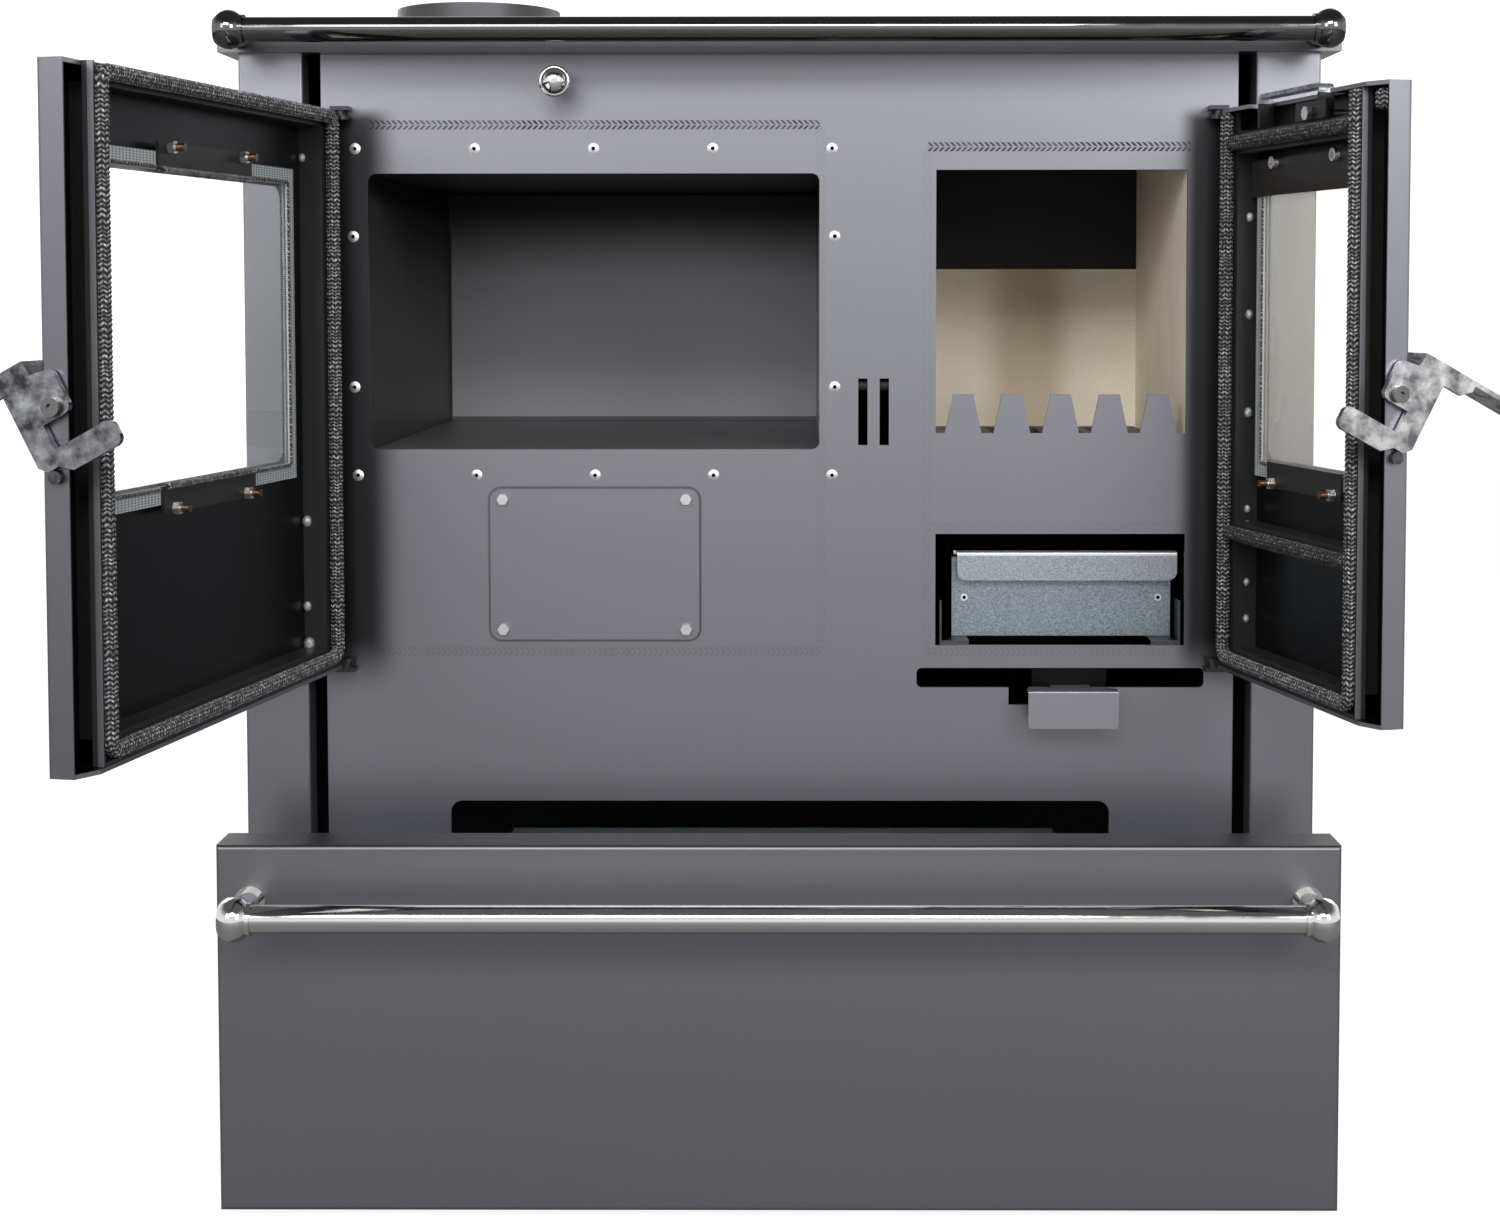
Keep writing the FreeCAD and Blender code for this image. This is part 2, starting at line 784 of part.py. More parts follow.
def air_slider():
    floor = air_slot_floor + slide_clearance
    middle = slider_tab_left + slider_tab_width / 2
    half = slider_stem_width / 2
    blade_y = plate_sheet + slide_clearance
    tab = block(slider_tab_left, slider_tab_left + slider_tab_width, -slider_tab_reach,
                -slider_tab_reach + slider_sheet, floor + slider_sheet - slider_tab_height,
                floor + slider_sheet)
    tab = rounded(tab, (0, 1, 0), slider_tab_corner, lambda middle: middle.z < floor)
    shelf = block(slider_tab_left, slider_tab_left + slider_tab_width, -slider_tab_reach,
                  -slider_tab_reach / 2, floor, floor + slider_sheet)
    stem = block(middle - half, middle + half, -slider_tab_reach, blade_y + slider_sheet,
                 floor, floor + slider_sheet)
    blade = block(middle - half - slider_blade_side, middle + half + slider_blade_side, blade_y,
                  blade_y + slider_sheet, floor + slider_sheet - slider_blade_height / 2,
                  floor + slider_sheet + slider_blade_height / 2)
    slider = fused([tab, shelf, stem, blade])
    return rounded(slider, (1, 0, 0), slider_fold,
                   lambda middle: middle.y < -slider_tab_reach + 1e-3 and middle.z > floor)


# Damper: a pull knob on a rod that slides a plate over the flue way

def damper_rod():
    rear = flue_y - damper_plate_depth / 2 + damper_plate_sheet
    return rod(damper_x, -damper_knob_reach + damper_knob_length, damper_z, (0, 1, 0), damper_rod_radius,
               rear + damper_knob_reach - damper_knob_length)


def damper_knob():
    """A turned knob: a dome with a bead round it on a narrower neck, open to the rod's end."""
    tip = -damper_knob_reach
    neck = damper_knob_radius * 0.6
    dome = damper_knob_length * 0.35
    bead = damper_knob_length * 0.55
    return spun([(0, 0), ("arc", (dome * 0.4, damper_knob_radius * 0.62), (dome, damper_knob_radius * 0.84)),
                 ("arc", ((dome + bead) / 2, damper_knob_radius), (bead, damper_knob_radius * 0.84)),
                 (bead, neck), (damper_knob_length, neck), (damper_knob_length, 0)],
                (damper_x, tip, damper_z), (1, 0, 0), (0, 1, 0))


def damper_plate():
    """A flat plate over the flue way, with an upturned ear that the rod is fixed to."""
    floor = damper_seat_z + inner_sheet + slide_clearance
    y0 = flue_y - damper_plate_depth / 2
    ear = damper_rod_radius + 6
    right = damper_x + ear
    sheet = damper_plate_sheet
    plate = block(right - damper_plate_width, right, y0, y0 + damper_plate_depth, floor, floor + sheet)
    lug = block(right - 2 * ear, right, y0, y0 + sheet, floor, damper_z + ear)
    bore = rod(damper_x, y0 - 1, damper_z, (0, 1, 0), damper_rod_radius + hole_clearance, sheet + 2)
    return fused([plate, lug]).cut(bore)


def damper_seat():
    """A shelf welded to the inner walls, with the flue way through it."""
    shelf = block(inner_left_face, damper_x + damper_plate_width / 4, oven_depth / 2, inner_depth,
                  damper_seat_z, damper_seat_z + inner_sheet)
    way = rod(flue_x, flue_y, damper_seat_z - 1, (0, 0, 1), damper_hole_radius, inner_sheet + 2)
    return shelf.cut(way)


# Hob: a folded frame, the cast cooking plate with its lid, and the flue collar

def hob_frame():
    x0, x1, y0, y1 = -hob_side, hob_side, -hob_front, hob_rear
    skirt = ring(x0, x1, y0, y1, hob_floor, hob_top, hob_sheet, hob_sheet)
    rim = ring(x0, x1, y0, y1, hob_top - hob_sheet, hob_top, hob_rim, hob_rim)
    foot = ring(x0, x1, y0, y1, hob_floor, hob_floor + hob_sheet, hob_foot, hob_foot)
    inset = hob_upright_inset
    upright = ring(x0 + inset, x1 - inset, y0 + inset, y1 - inset, hob_floor, cooking_plate_floor,
                   hob_sheet, hob_sheet)
    frame = fused([skirt, rim, foot, upright])
    return rounded(frame, (1, 0, 0), hob_fold, lambda middle: middle.z > hob_top - 1e-3
                   and (middle.y < y0 + 1e-3 or middle.y > y1 - 1e-3))


def lid_seat_z():
    return cooking_plate_top - lid_thickness


def cooking_plate():
    edge = hob_rim + cooking_plate_gap
    plate = block(-hob_side + edge, hob_side - edge, -hob_front + edge, hob_rear - edge,
                  cooking_plate_floor, cooking_plate_top)
    flue_way = rod(flue_x, flue_y, cooking_plate_floor - 1, (0, 0, 1), flue_radius - flue_wall,
                   cooking_plate_thickness + 2)
    fire_way = rod(lid_x, lid_y, cooking_plate_floor - 1, (0, 0, 1), lid_radius - lid_ledge,
                   cooking_plate_thickness + 2)
    seat = rod(lid_x, lid_y, lid_seat_z(), (0, 0, 1), lid_radius + slide_clearance, lid_thickness + 1)
    return plate.cut([flue_way, fire_way, seat])


def plate_lid():
    """A round lid with a half-round pocket for the lifting hook."""
    disc = rod(lid_x, lid_y, lid_seat_z(), (0, 0, 1), lid_radius, lid_thickness)
    pocket = rod(lid_x, lid_y - lid_radius * 0.55, lid_seat_z() + lid_thickness / 2, (0, 0, 1),
                 lid_key_radius, lid_thickness)
    return disc.cut(pocket)


def flue_collar():
    base = cooking_plate_top
    tube = rod(flue_x, flue_y, base, (0, 0, 1), flue_radius, flue_top - base)
    flange = rod(flue_x, flue_y, base, (0, 0, 1), flue_radius + flue_flange, flue_flange_sheet)
    bore = rod(flue_x, flue_y, base - 1, (0, 0, 1), flue_radius - flue_wall, flue_top - base + 2)
    return fused([tube, flange]).cut(bore)


# Rail and handle: a bright tube between two turned ends on standoffs

def turned_end(sign, outer_x, y, z, tube_radius, ball_radius, ball_length, seat_y):
    """A flattened ball with a collar, on a standoff that ends in a round foot at seat_y."""
    neck = tube_radius + (ball_radius - tube_radius) / 3
    cap = ball_radius * ball_cap_share
    middle = (ball_collar + ball_length) / 2
    ball = spun([(0, 0), (0, neck), (ball_collar, neck),
                 ("arc", (middle, ball_radius), (ball_length, cap)), (ball_length, 0)],
                (outer_x - sign * ball_length, y, z), (0, 0, 1), (sign, 0, 0))
    centre = outer_x - sign * (ball_length - middle)
    post = rod(centre, y, z, (0, 1, 0), ball_radius * ball_post_share, seat_y - y)
    foot = rod(centre, seat_y - ball_collar, z, (0, 1, 0), ball_radius * ball_foot_share, ball_collar)
    return fused([ball, post, foot])


def rail_y():
    return -hob_front - rail_reach


def rail_tube():
    half = rail_half_length - rail_ball_length
    return rod(-half, rail_y(), rail_z, (1, 0, 0), rail_radius, 2 * half)


def rail_ends():
    ends = []
    for sign in (-1, 1):
        ends.append(turned_end(sign, sign * rail_half_length, rail_y(), rail_z, rail_radius,
                               rail_ball_radius, rail_ball_length, -hob_front))
    return grouped(ends)


def handle_y():
    return drawer_face - handle_reach


def drawer_handle_tube():
    half = handle_half_length - handle_ball_length
    return rod(-half, handle_y(), handle_z, (1, 0, 0), handle_radius, 2 * half)


def drawer_handle_ends():
    ends = []
    for sign in (-1, 1):
        ends.append(turned_end(sign, sign * handle_half_length, handle_y(), handle_z, handle_radius,
                               handle_ball_radius, handle_ball_length, drawer_face))
    return grouped(ends)


# Drawer: a folded front with a rear flange, a sheet box fixed behind it and two guides below

def drawer_front():
    half = drawer_front_width / 2
    z0, z1 = drawer_front_floor, drawer_front_top
    sheet = drawer_sheet
    pan = block(-half, half, drawer_face, drawer_back, z0, z1)
    folds = [edge for edge in pan.Edges if abs(edge.CenterOfMass.y - drawer_face) < 1e-3]
    pan = pan.makeFillet(drawer_fold, folds)
    hollow = block(-half + sheet, half - sheet, drawer_face + sheet, drawer_back - sheet,
                   z0 + sheet, z1 - sheet)
    gap = block(-half + drawer_front_flange, half - drawer_front_flange, drawer_back - 2 * sheet,
                drawer_back + 1, z0 + drawer_front_lip, z1 - drawer_front_lip)
    return pan.cut([hollow, gap])


def drawer_box():
    half = drawer_box_width / 2
    sheet = drawer_box_sheet
    rear = drawer_back + drawer_box_length
    box = block(-half, half, drawer_back, rear, drawer_box_floor, drawer_box_top)
    inside = block(-half + sheet, half - sheet, drawer_back + sheet, rear - sheet,
                   drawer_box_floor + sheet, drawer_box_top + 1)
    reach = drawer_front_width / 2 - drawer_front_flange + drawer_face_lap
    face = block(-reach, reach, drawer_back, drawer_back + sheet,
                 drawer_front_floor + drawer_front_lip - drawer_face_lap,
                 drawer_front_top - drawer_front_lip + drawer_face_lap)
    return fused([box, face]).cut(inside)


def drawer_guides():
    """Two angle strips on the base plate; the drawer box slides on their feet."""
    top = drawer_box_floor - slide_clearance
    guides = []
    for sign in (-1, 1):
        wall = sign * (drawer_box_width / 2 + slide_clearance)
        pad = block(wall, wall - sign * drawer_guide_foot, plate_sheet, plate_sheet + drawer_guide_length,
                    base_sheet, top)
        lip = block(wall, wall + sign * drawer_box_sheet, plate_sheet, plate_sheet + drawer_guide_length,
                    base_sheet, top + drawer_guide_foot)
        guides.append(fused([pad, lip]))
    return grouped(guides)


# Doors: drawn closed, each in steps outwards from its hinge, then swung open to rest

def door_x(side, distance):
    """X at a distance from the hinge axis towards the free edge; side -1 is the oven door."""
    return side * (hinge_x - distance)


def door_reach(side):
    return oven_door_reach if side < 0 else fire_door_reach


def door_block(side, a0, a1, y0, y1, z0, z1):
    return block(door_x(side, a0), door_x(side, a1), y0, y1, z0, z1)


def swung(shape, side):
    """The shape turned about its hinge from closed to where it stands open at rest."""
    angle = oven_door_angle if side < 0 else fire_door_angle
    turned = shape.copy()
    turned.rotate(vec(side * hinge_x, hinge_y, 0), vec(0, 0, 1), side * angle)
    return turned


def window(side):
    """Left, right, lower and upper limits of a door's window opening."""
    near = oven_window_near if side < 0 else fire_window_near
    width = oven_window_width if side < 0 else fire_window_width
    x0, x1 = sorted((door_x(side, near), door_x(side, near + width)))
    return x0, x1, window_floor, window_top


def end_cap(side, z0, depth):
    """The fold that closes a door at its top or foot, cut back clear of the hinge pin."""
    reach = door_reach(side)
    short = door_face + door_return
    deep = door_face + depth
    clear = hinge_lug_radius + hinge_pin_radius
    outline = [(hinge_pin_radius, door_face), (reach, door_face), (reach, short)]
    if deep > short:
        outline += [(reach - door_return, deep), (clear, deep), (clear, short)]
    outline.append((hinge_pin_radius, short))
    points = [vec(door_x(side, a), y, z0) for a, y in outline]
    return Part.Face(Part.makePolygon(points + points[:1])).extrude(vec(0, 0, door_cap_sheet))


def lever_hole(side, y, z, radius):
    """A cutter through the free-edge fold for a latch screw."""
    free = door_x(side, door_reach(side) - 2 * door_sheet)
    return rod(free, y, z, (-side, 0, 0), radius + hole_clearance, 4 * door_sheet)


def door_shell(side):
    reach = door_reach(side)
    face = door_block(side, -door_hinge_lap, reach, door_face, door_inner_face, door_floor, door_top)
    fold = door_block(side, reach - door_sheet, reach, door_face, door_face + door_return,
                      door_floor, door_top)
    top_depth = door_return if side < 0 else door_cap
    shell = fused([face, fold, end_cap(side, door_floor, door_cap),
                   end_cap(side, door_top - door_cap_sheet, top_depth)])
    x0, x1, z0, z1 = window(side)
    opening = rounded(block(x0, x1, door_face - 1, door_inner_face + 1, z0, z1), (0, 1, 0), window_corner)
    cutters = [opening, lever_hole(side, lever_pivot_y, lever_pivot_z, lever_pivot_radius)]
    if side > 0:
        cutters.append(block(wash_bar_left - 2 * wash_travel, wash_bar_right + 2 * wash_travel,
                             wash_y() - wash_bar_depth - slide_clearance, door_face + door_cap + 1,
                             door_top - 2 * door_cap_sheet, door_top + 1))
    return rounded(shell.cut(cutters), (0, 0, 1), door_corner, lambda middle: is_front_edge(side, middle))


def is_front_edge(side, middle):
    """True at the outer fold between a door's face and its free edge."""
    return (abs(middle.y - door_face) < 1e-3
            and abs(middle.x - door_x(side, door_reach(side))) < 1e-3)


def hinge_lug_floors():
    """Undersides of the two lugs by which a frame turns on its hinge pins."""
    inset = door_cap_sheet + slide_clearance
    return door_floor + inset, door_top - inset - hinge_tab_thickness


def frame_limits(side):
    """Hinge and free sides of the inner frame, as distances from the hinge axis."""
    return frame_hinge_offset, door_reach(side) - frame_free_inset


def frame_heights(side):
    """Foot and top of the inner frame; the oven door's top rope lies level with the door's top."""
    inset = door_cap_sheet + slide_clearance
    top = door_top + frame_channel / 2 - rope_radius if side < 0 else door_top - inset
    return door_floor + inset, top


def cross_bar(side, z):
    """A rope channel's floor across the frame, on two legs from the door's face."""
    near, far = frame_limits(side)
    half = frame_channel / 2
    seat = -rope_seat
    bars = [door_block(side, near, far, seat - frame_sheet, seat, z - half, z + half)]
    for sign in (-1, 1):
        edge = z + sign * half
        bars.append(door_block(side, near + frame_channel, far - frame_channel, door_inner_face, seat,
                               edge, edge - sign * frame_sheet))
    return bars


def door_frame(side):
    """A ring of folded strip: a wall off the door's face, a channel floor and an outer leg."""
    near, far = frame_limits(side)
    z0, z1 = frame_heights(side)
    seat = -rope_seat
    inset = frame_channel - frame_sheet
    x0, x1 = sorted((door_x(side, near), door_x(side, far)))
    floor = upright_ring(x0, x1, seat - frame_sheet, seat, z0, z1, frame_channel)
    leg = upright_ring(x0, x1, seat - frame_sheet, seat + frame_channel_leg, z0, z1, frame_sheet)
    wall = upright_ring(x0 + inset, x1 - inset, door_inner_face, seat, z0 + inset, z1 - inset, frame_sheet)
    parts = [floor, leg, wall]
    if side > 0:
        parts += cross_bar(side, cross_rope_middle) + cross_bar(side, cross_rope_top)
    for z in hinge_lug_floors():
        boss = rod(door_x(side, 0), hinge_y, z, (0, 0, 1), hinge_lug_radius, hinge_tab_thickness)
        arm = door_block(side, hinge_pin_radius, frame_hinge_offset + frame_sheet, door_inner_face,
                         hinge_y + hinge_pin_radius, z, z + hinge_tab_thickness)
        parts += [boss, arm]
    frame = fused(parts)
    cutters = [rod(door_x(side, 0), hinge_y, z0 - 1, (0, 0, 1), hinge_pin_radius + pin_clearance,
                   z1 - z0 + 2)]
    if side > 0:
        above = cross_rope_top + frame_channel / 2
        cutters.append(door_block(side, near + frame_channel, far - frame_channel, door_inner_face - 1, 0,
                                  above, z1 + 1))
        cutters.append(door_block(side, near + frame_sheet, far - frame_sheet, seat, 0, above, z1 + 1))
    else:
        cutters.append(door_block(side, near, far, door_face, 0, door_top, z1 + 1))
    return frame.cut(cutters)


def rope_loop(corners, closed):
    """A round rope along straight runs joined by quarter bends, in the plane of the channel."""
    pieces = []
    count = len(corners)
    ends = count if closed else count - 1
    for index in range(ends):
        start = vec(corners[index][0], rope_y, corners[index][1])
        stop = vec(corners[(index + 1) % count][0], rope_y, corners[(index + 1) % count][1])
        run = stop.sub(start)
        length = run.Length
        run.normalize()
        trim_start = rope_bend if closed or index > 0 else 0
        trim_stop = rope_bend if closed or index < ends - 1 else 0
        begin = start.add(run * trim_start)
        pieces.append(Part.makeCylinder(rope_radius, length - trim_start - trim_stop, begin, run))
        if trim_stop:
            after = corners[(index + 2) % count]
            turn = vec(after[0], rope_y, after[1]).sub(stop)
            turn.normalize()
            centre = stop.sub(run * rope_bend).add(turn * rope_bend)
            section = Part.Face(Part.Wire(Part.makeCircle(rope_radius, stop.sub(run * rope_bend), run)))
            pieces.append(section.revolve(centre, run.cross(turn), 90))
    return fused(pieces)


def door_rope(side):
    near, far = frame_limits(side)
    z0, z1 = frame_heights(side)
    half = frame_channel / 2
    x_near, x_far = door_x(side, near + half), door_x(side, far - half)
    if side < 0:
        return rope_loop([(x_near, z0 + half), (x_far, z0 + half), (x_far, z1 - half), (x_near, z1 - half)],
                         True)
    ropes = [rope_loop([(x_near, z1), (x_near, z0 + half), (x_far, z0 + half), (x_far, z1)], False)]
    for z in (cross_rope_middle, cross_rope_top):
        start = x_far + rope_radius + slide_clearance
        ropes.append(rod(start, rope_y, z, (1, 0, 0), rope_radius,
                         x_near - x_far - 2 * (rope_radius + slide_clearance)))
    return grouped(ropes)


def glass_limits(side):
    x0, x1, z0, z1 = window(side)
    return x0 - glass_lap, x1 + glass_lap, z0 - glass_lap, z1 + glass_lap


def glass_face():
    return door_inner_face + tape_thickness


def tape_back():
    return glass_face() + glass_thickness + tape_thickness


def door_glass(side):
    x0, x1, z0, z1 = glass_limits(side)
    return block(x0, x1, glass_face(), glass_face() + glass_thickness, z0, z1)


def glass_tape(side):
    """A woven tape folded round the edge of the glass."""
    x0, x1, z0, z1 = glass_limits(side)
    wrap = tape_thickness
    outer = upright_ring(x0 - wrap, x1 + wrap, door_inner_face, tape_back(), z0 - wrap, z1 + wrap,
                         tape_lap + wrap)
    return outer.cut(block(x0, x1, glass_face(), glass_face() + glass_thickness, z0, z1))


def stud_places(side):
    """Centres of the four studs that hold a door's glass clips."""
    x0, x1, z0, z1 = glass_limits(side)
    middle = (x0 + x1) / 2
    half = (oven_stud_span if side < 0 else fire_stud_span) / 2
    gap = tape_thickness + stud_radius + 2 * slide_clearance
    places = []
    for z in (z0 - gap, z1 + gap):
        for sign in (-1, 1):
            places.append((middle + sign * half, z))
    return places


def glass_clips(side):
    """A bar below the glass and a bar or deeper retainer above it."""
    x0, x1, z0, z1 = glass_limits(side)
    middle = (x0 + x1) / 2
    back = tape_back()
    gap = tape_thickness + 2 * stud_radius + 4 * slide_clearance
    half = (oven_clip_width if side < 0 else fire_clip_width) / 2
    upper_half = half if side < 0 else retainer_width / 2
    upper_height = clip_height if side < 0 else retainer_drop
    lower = block(middle - half, middle + half, back, back + clip_sheet, z0 - gap, z0 - gap + clip_height)
    upper = block(middle - upper_half, middle + upper_half, back, back + clip_sheet,
                  z1 + gap - upper_height, z1 + gap)
    holes = []
    for x, z in stud_places(side):
        holes.append(rod(x, back - 1, z, (0, 1, 0), stud_radius + hole_clearance, clip_sheet + 2))
    return grouped([lower.cut(holes), upper.cut(holes)])


def clip_studs(side):
    """Studs with hexagonal nuts against the clips; socket screws hold the fire door's retainer."""
    studs = []
    seat = tape_back() + clip_sheet
    for x, z in stud_places(side):
        if side > 0 and z > window_top:
            depth = nut_height - stud_socket_depth
            shank = rod(x, door_inner_face, z, (0, 1, 0), stud_radius, seat + depth - door_inner_face)
            head = rod(x, seat, z, (0, 1, 0), nut_radius, nut_height)
            head = head.cut(hexagon(x, seat + depth, z, stud_socket, nut_height))
        else:
            shank = rod(x, door_inner_face, z, (0, 1, 0), stud_radius, stud_length)
            head = hexagon(x, seat, z, nut_radius, nut_height)
        studs.append(fused([shank, head]))
    return grouped(studs)


def hinge_brackets():
    """A tab on the front plate at the top and foot of each door, with its pin welded in."""
    brackets = []
    tab = hinge_tab_thickness
    gap = 2 * slide_clearance
    foot_lug, top_lug = hinge_lug_floors()
    for side in (-1, 1):
        x = door_x(side, 0)
        low = door_floor - gap - tab
        plate = block(x - hinge_tab_half_width, x + hinge_tab_half_width, -hinge_tab_reach, 0, low, low + tab)
        pin = rod(x, hinge_y, low, (0, 0, 1), hinge_pin_radius, foot_lug + tab - low)
        collar = rod(x, hinge_y, low, (0, 0, 1), hinge_collar_radius, foot_lug - slide_clearance - low)
        brackets.append(fused([plate, pin, collar]))
        high = door_top + gap
        plate = block(x - hinge_tab_half_width, x + hinge_tab_half_width, -hinge_tab_reach, 0,
                      high, high + tab)
        pin = rod(x, hinge_y, top_lug, (0, 0, 1), hinge_pin_radius, high + tab - top_lug)
        brackets.append(fused([plate, pin]))
    return grouped(brackets)


# Latch levers: cut from plate, hooked at one end and folded into a grip at the other

def lever_point(u, w):
    """Where a point of the lever's own plane lies when the lever rests on its stop."""
    tilt = math.radians(lever_tilt)
    return (lever_pivot_y + u * math.cos(tilt) - w * math.sin(tilt),
            lever_pivot_z + u * math.sin(tilt) + w * math.cos(tilt))


def lever_outline():
    """Corners of the lever's flat part as (u, w), from its heel round by the hooked arm."""
    inner = lever_back_u + lever_body_width
    arm_top = lever_arm_floor_w + lever_arm_height
    neck_floor = lever_neck_top_w - lever_neck_height
    return [(lever_back_u + lever_heel_cut, lever_heel_w), (lever_arm_root_u, lever_heel_w),
            (lever_arm_root_u + lever_arm_cut, lever_arm_floor_w), (lever_arm_tip_u, lever_arm_floor_w),
            (lever_arm_tip_u, arm_top), (inner, arm_top), (inner, lever_lobe_floor_w),
            (lever_lobe_tip_u, lever_lobe_floor_w), (lever_lobe_tip_u, lever_lobe_top_w),
            (lever_notch_u, lever_notch_w), (lever_crest_u, lever_neck_top_w),
            (lever_neck_end_u, lever_neck_top_w), (lever_neck_end_u, neck_floor + lever_neck_cut),
            (lever_neck_end_u + lever_neck_cut, neck_floor), (lever_back_u, neck_floor),
            (lever_back_u, lever_heel_w + lever_heel_cut)]


def latch_lever(side):
    """The lever flat in its own plane at the pivot, then tilted and carried to its door."""
    middle = lever_middle(side)
    x0 = middle - lever_sheet / 2
    points = [vec(x0, u, w) for u, w in lever_outline()]
    flat = Part.Face(Part.makePolygon(points + points[:1])).extrude(vec(lever_sheet, 0, 0))
    flat = rounded(flat, (1, 0, 0), lever_arm_height / 3, is_lever_nose)
    grip_x0 = middle - side * lever_sheet / 2
    grip_x1 = grip_x0 + side * lever_grip_width
    grip = block(grip_x0, grip_x1, lever_crest_u - lever_grip_length, lever_crest_u,
                       lever_neck_top_w - lever_grip_sheet, lever_neck_top_w)
    grip = rounded(grip, (0, 0, 1), lever_grip_width / 4,
                   lambda place: place.y < lever_crest_u - lever_grip_length / 2)
    bore = rod(x0 - 1, 0, 0, (1, 0, 0), lever_pivot_radius + pin_clearance, lever_sheet + 2)
    lever = fused([flat, grip]).cut(bore)
    lever.rotate(vec(0, 0, 0), vec(1, 0, 0), lever_tilt)
    lever.translate(vec(0, lever_pivot_y, lever_pivot_z))
    return lever


def is_lever_nose(place):
    """True at the corners of the arm's tip and of the lobe."""
    return place.y > lever_lobe_tip_u - 1e-3


def stop_place():
    """The stop screw stands under the lever's heel, clear of the arm's cut corner as it lifts."""
    return lever_point(stop_u, lever_heel_w - stop_radius - stop_gap)


def door_screws(side):
    """The lever's pivot bolt, its stop screw and, on the fire door, the air-wash guide bolt."""
    free = door_x(side, door_reach(side))
    out = (-side, 0, 0)
    shank = rod(free + side * 2 * door_sheet, lever_pivot_y, lever_pivot_z, out, lever_pivot_radius,
                2 * door_sheet + lever_standoff + lever_sheet + lever_head_height)
    washer = rod(free, lever_pivot_y, lever_pivot_z, out, lever_pivot_head,
                 lever_standoff - slide_clearance / 2)
    cap_x = free - side * (lever_standoff + lever_sheet + slide_clearance)
    cap = rod(cap_x, lever_pivot_y, lever_pivot_z, out, lever_pivot_head, lever_head_height - slide_clearance)
    tip = cap_x - side * (lever_head_height - slide_clearance - lever_socket_depth)
    socket = hexagon(0, 0, 0, lever_socket, 2 * lever_socket_depth)
    socket.rotate(vec(0, 0, 0), vec(0, 0, 1), side * 90)
    socket.translate(vec(tip, lever_pivot_y, lever_pivot_z))
    stop_y, stop_z = stop_place()
    stop = rod(free, stop_y, stop_z, out, stop_radius, stop_height)
    screws = [fused([shank, washer, cap]).cut(socket), stop]
    if side > 0:
        bolt = rod(wash_bolt_x, door_inner_face, wash_bolt_z, (0, 1, 0), wash_bolt_radius,
                   wash_y() - door_inner_face)
        head_y = wash_y() + slide_clearance
        head = hexagon(wash_bolt_x, head_y, wash_bolt_z, wash_bolt_head, wash_bolt_head_height)
        neck = rod(wash_bolt_x, wash_y(), wash_bolt_z, (0, 1, 0), wash_bolt_radius, slide_clearance)
        screws.append(fused([bolt, neck, head]))
    return grouped(screws)


def latch_keeper():
    """A round bar welded behind the front plate across both latch slots, over the hooked arms."""
    y = plate_sheet + keeper_radius
    tilt = math.radians(lever_tilt)
    arm_top = lever_point(0, lever_arm_floor_w + lever_arm_height)
    z = arm_top[1] + (y - arm_top[0]) * math.tan(tilt) + (keeper_radius + keeper_gap) / math.cos(tilt)
    x0 = lever_middle(-1) - latch_slot_width / 2 - keeper_lap
    x1 = lever_middle(1) + latch_slot_width / 2 + keeper_lap
    return rod(x0, y, z, (1, 0, 0), keeper_radius, x1 - x0)


# Air-wash slider: a bent strip in the fire door's top channel, guided by its bolt

def wash_y():
    """The inner face of the air-wash strip, level with the rope channel's leg."""
    return -rope_seat + frame_channel_leg - slide_clearance


def wash_floor():
    """The strip's legs end just above the top rope's channel."""
    return cross_rope_top + frame_channel / 2 + slide_clearance


def air_wash_slider():
    y0, y1 = wash_y() - wash_sheet, wash_y()
    left, right, top = wash_bar_left, wash_bar_right, wash_bar_top
    bar = block(left, right, y1 - wash_bar_depth, y1, top - wash_bar_height, top)
    strap = block(right - wash_sheet, right, y1 - wash_bar_depth, y1, wash_floor(), top)
    riser = block(left, left + wash_sheet, y1 - wash_bar_depth, y1, wash_floor(), top)
    strip = rounded(fused([bar, strap, riser]), (0, 1, 0), wash_bend, lambda middle: middle.z > top - 1e-3)
    half = wash_leg_width / 2
    leg = block(wash_bolt_x - half, wash_bolt_x + half, y0, y1, wash_floor(), wash_bolt_z + wash_leg_rise)
    slot = []
    reach = wash_bolt_radius + pin_clearance
    slot.append(block(wash_bolt_x - wash_travel, wash_bolt_x + wash_travel, y0 - 1, y1 + 1,
                      wash_bolt_z - reach, wash_bolt_z + reach))
    for sign in (-1, 1):
        slot.append(rod(wash_bolt_x + sign * wash_travel, y0 - 1, wash_bolt_z, (0, 1, 0), reach,
                        wash_sheet + 2))
    return fused([strip, leg]).cut(slot)


save("base_plate", base_plate())
save("left_side_panel", side_panel(-1))
save("right_side_panel", side_panel(1))
save("rear_panel", rear_panel())
save("front_plate", front_plate())
save("oven_box", oven_box())
save("oven_rivets", oven_rivets())
save("soot_hatch_cover", soot_hatch_cover())
save("soot_hatch_bolts", soot_hatch_bolts())
save("inner_side_walls", inner_side_walls())
save("inner_rear_wall", inner_rear_wall())
save("smoke_floor", smoke_floor())
save("firebox_partition", firebox_partition())
save("firebox_floor", firebox_floor())
save("side_bricks", side_bricks())
save("rear_brick", rear_brick())
save("firebox_rear_plate", firebox_rear_plate())
save("fire_grate", fire_grate())
save("ash_pan_guides", ash_pan_guides())
save("ash_pan", ash_pan())
save("ash_pan_lip", ash_pan_lip())
save("ash_pan_rivets", ash_pan_rivets())
save("air_slider", air_slider())
save("damper_rod", damper_rod())
save("damper_knob", damper_knob())
save("damper_plate", damper_plate())
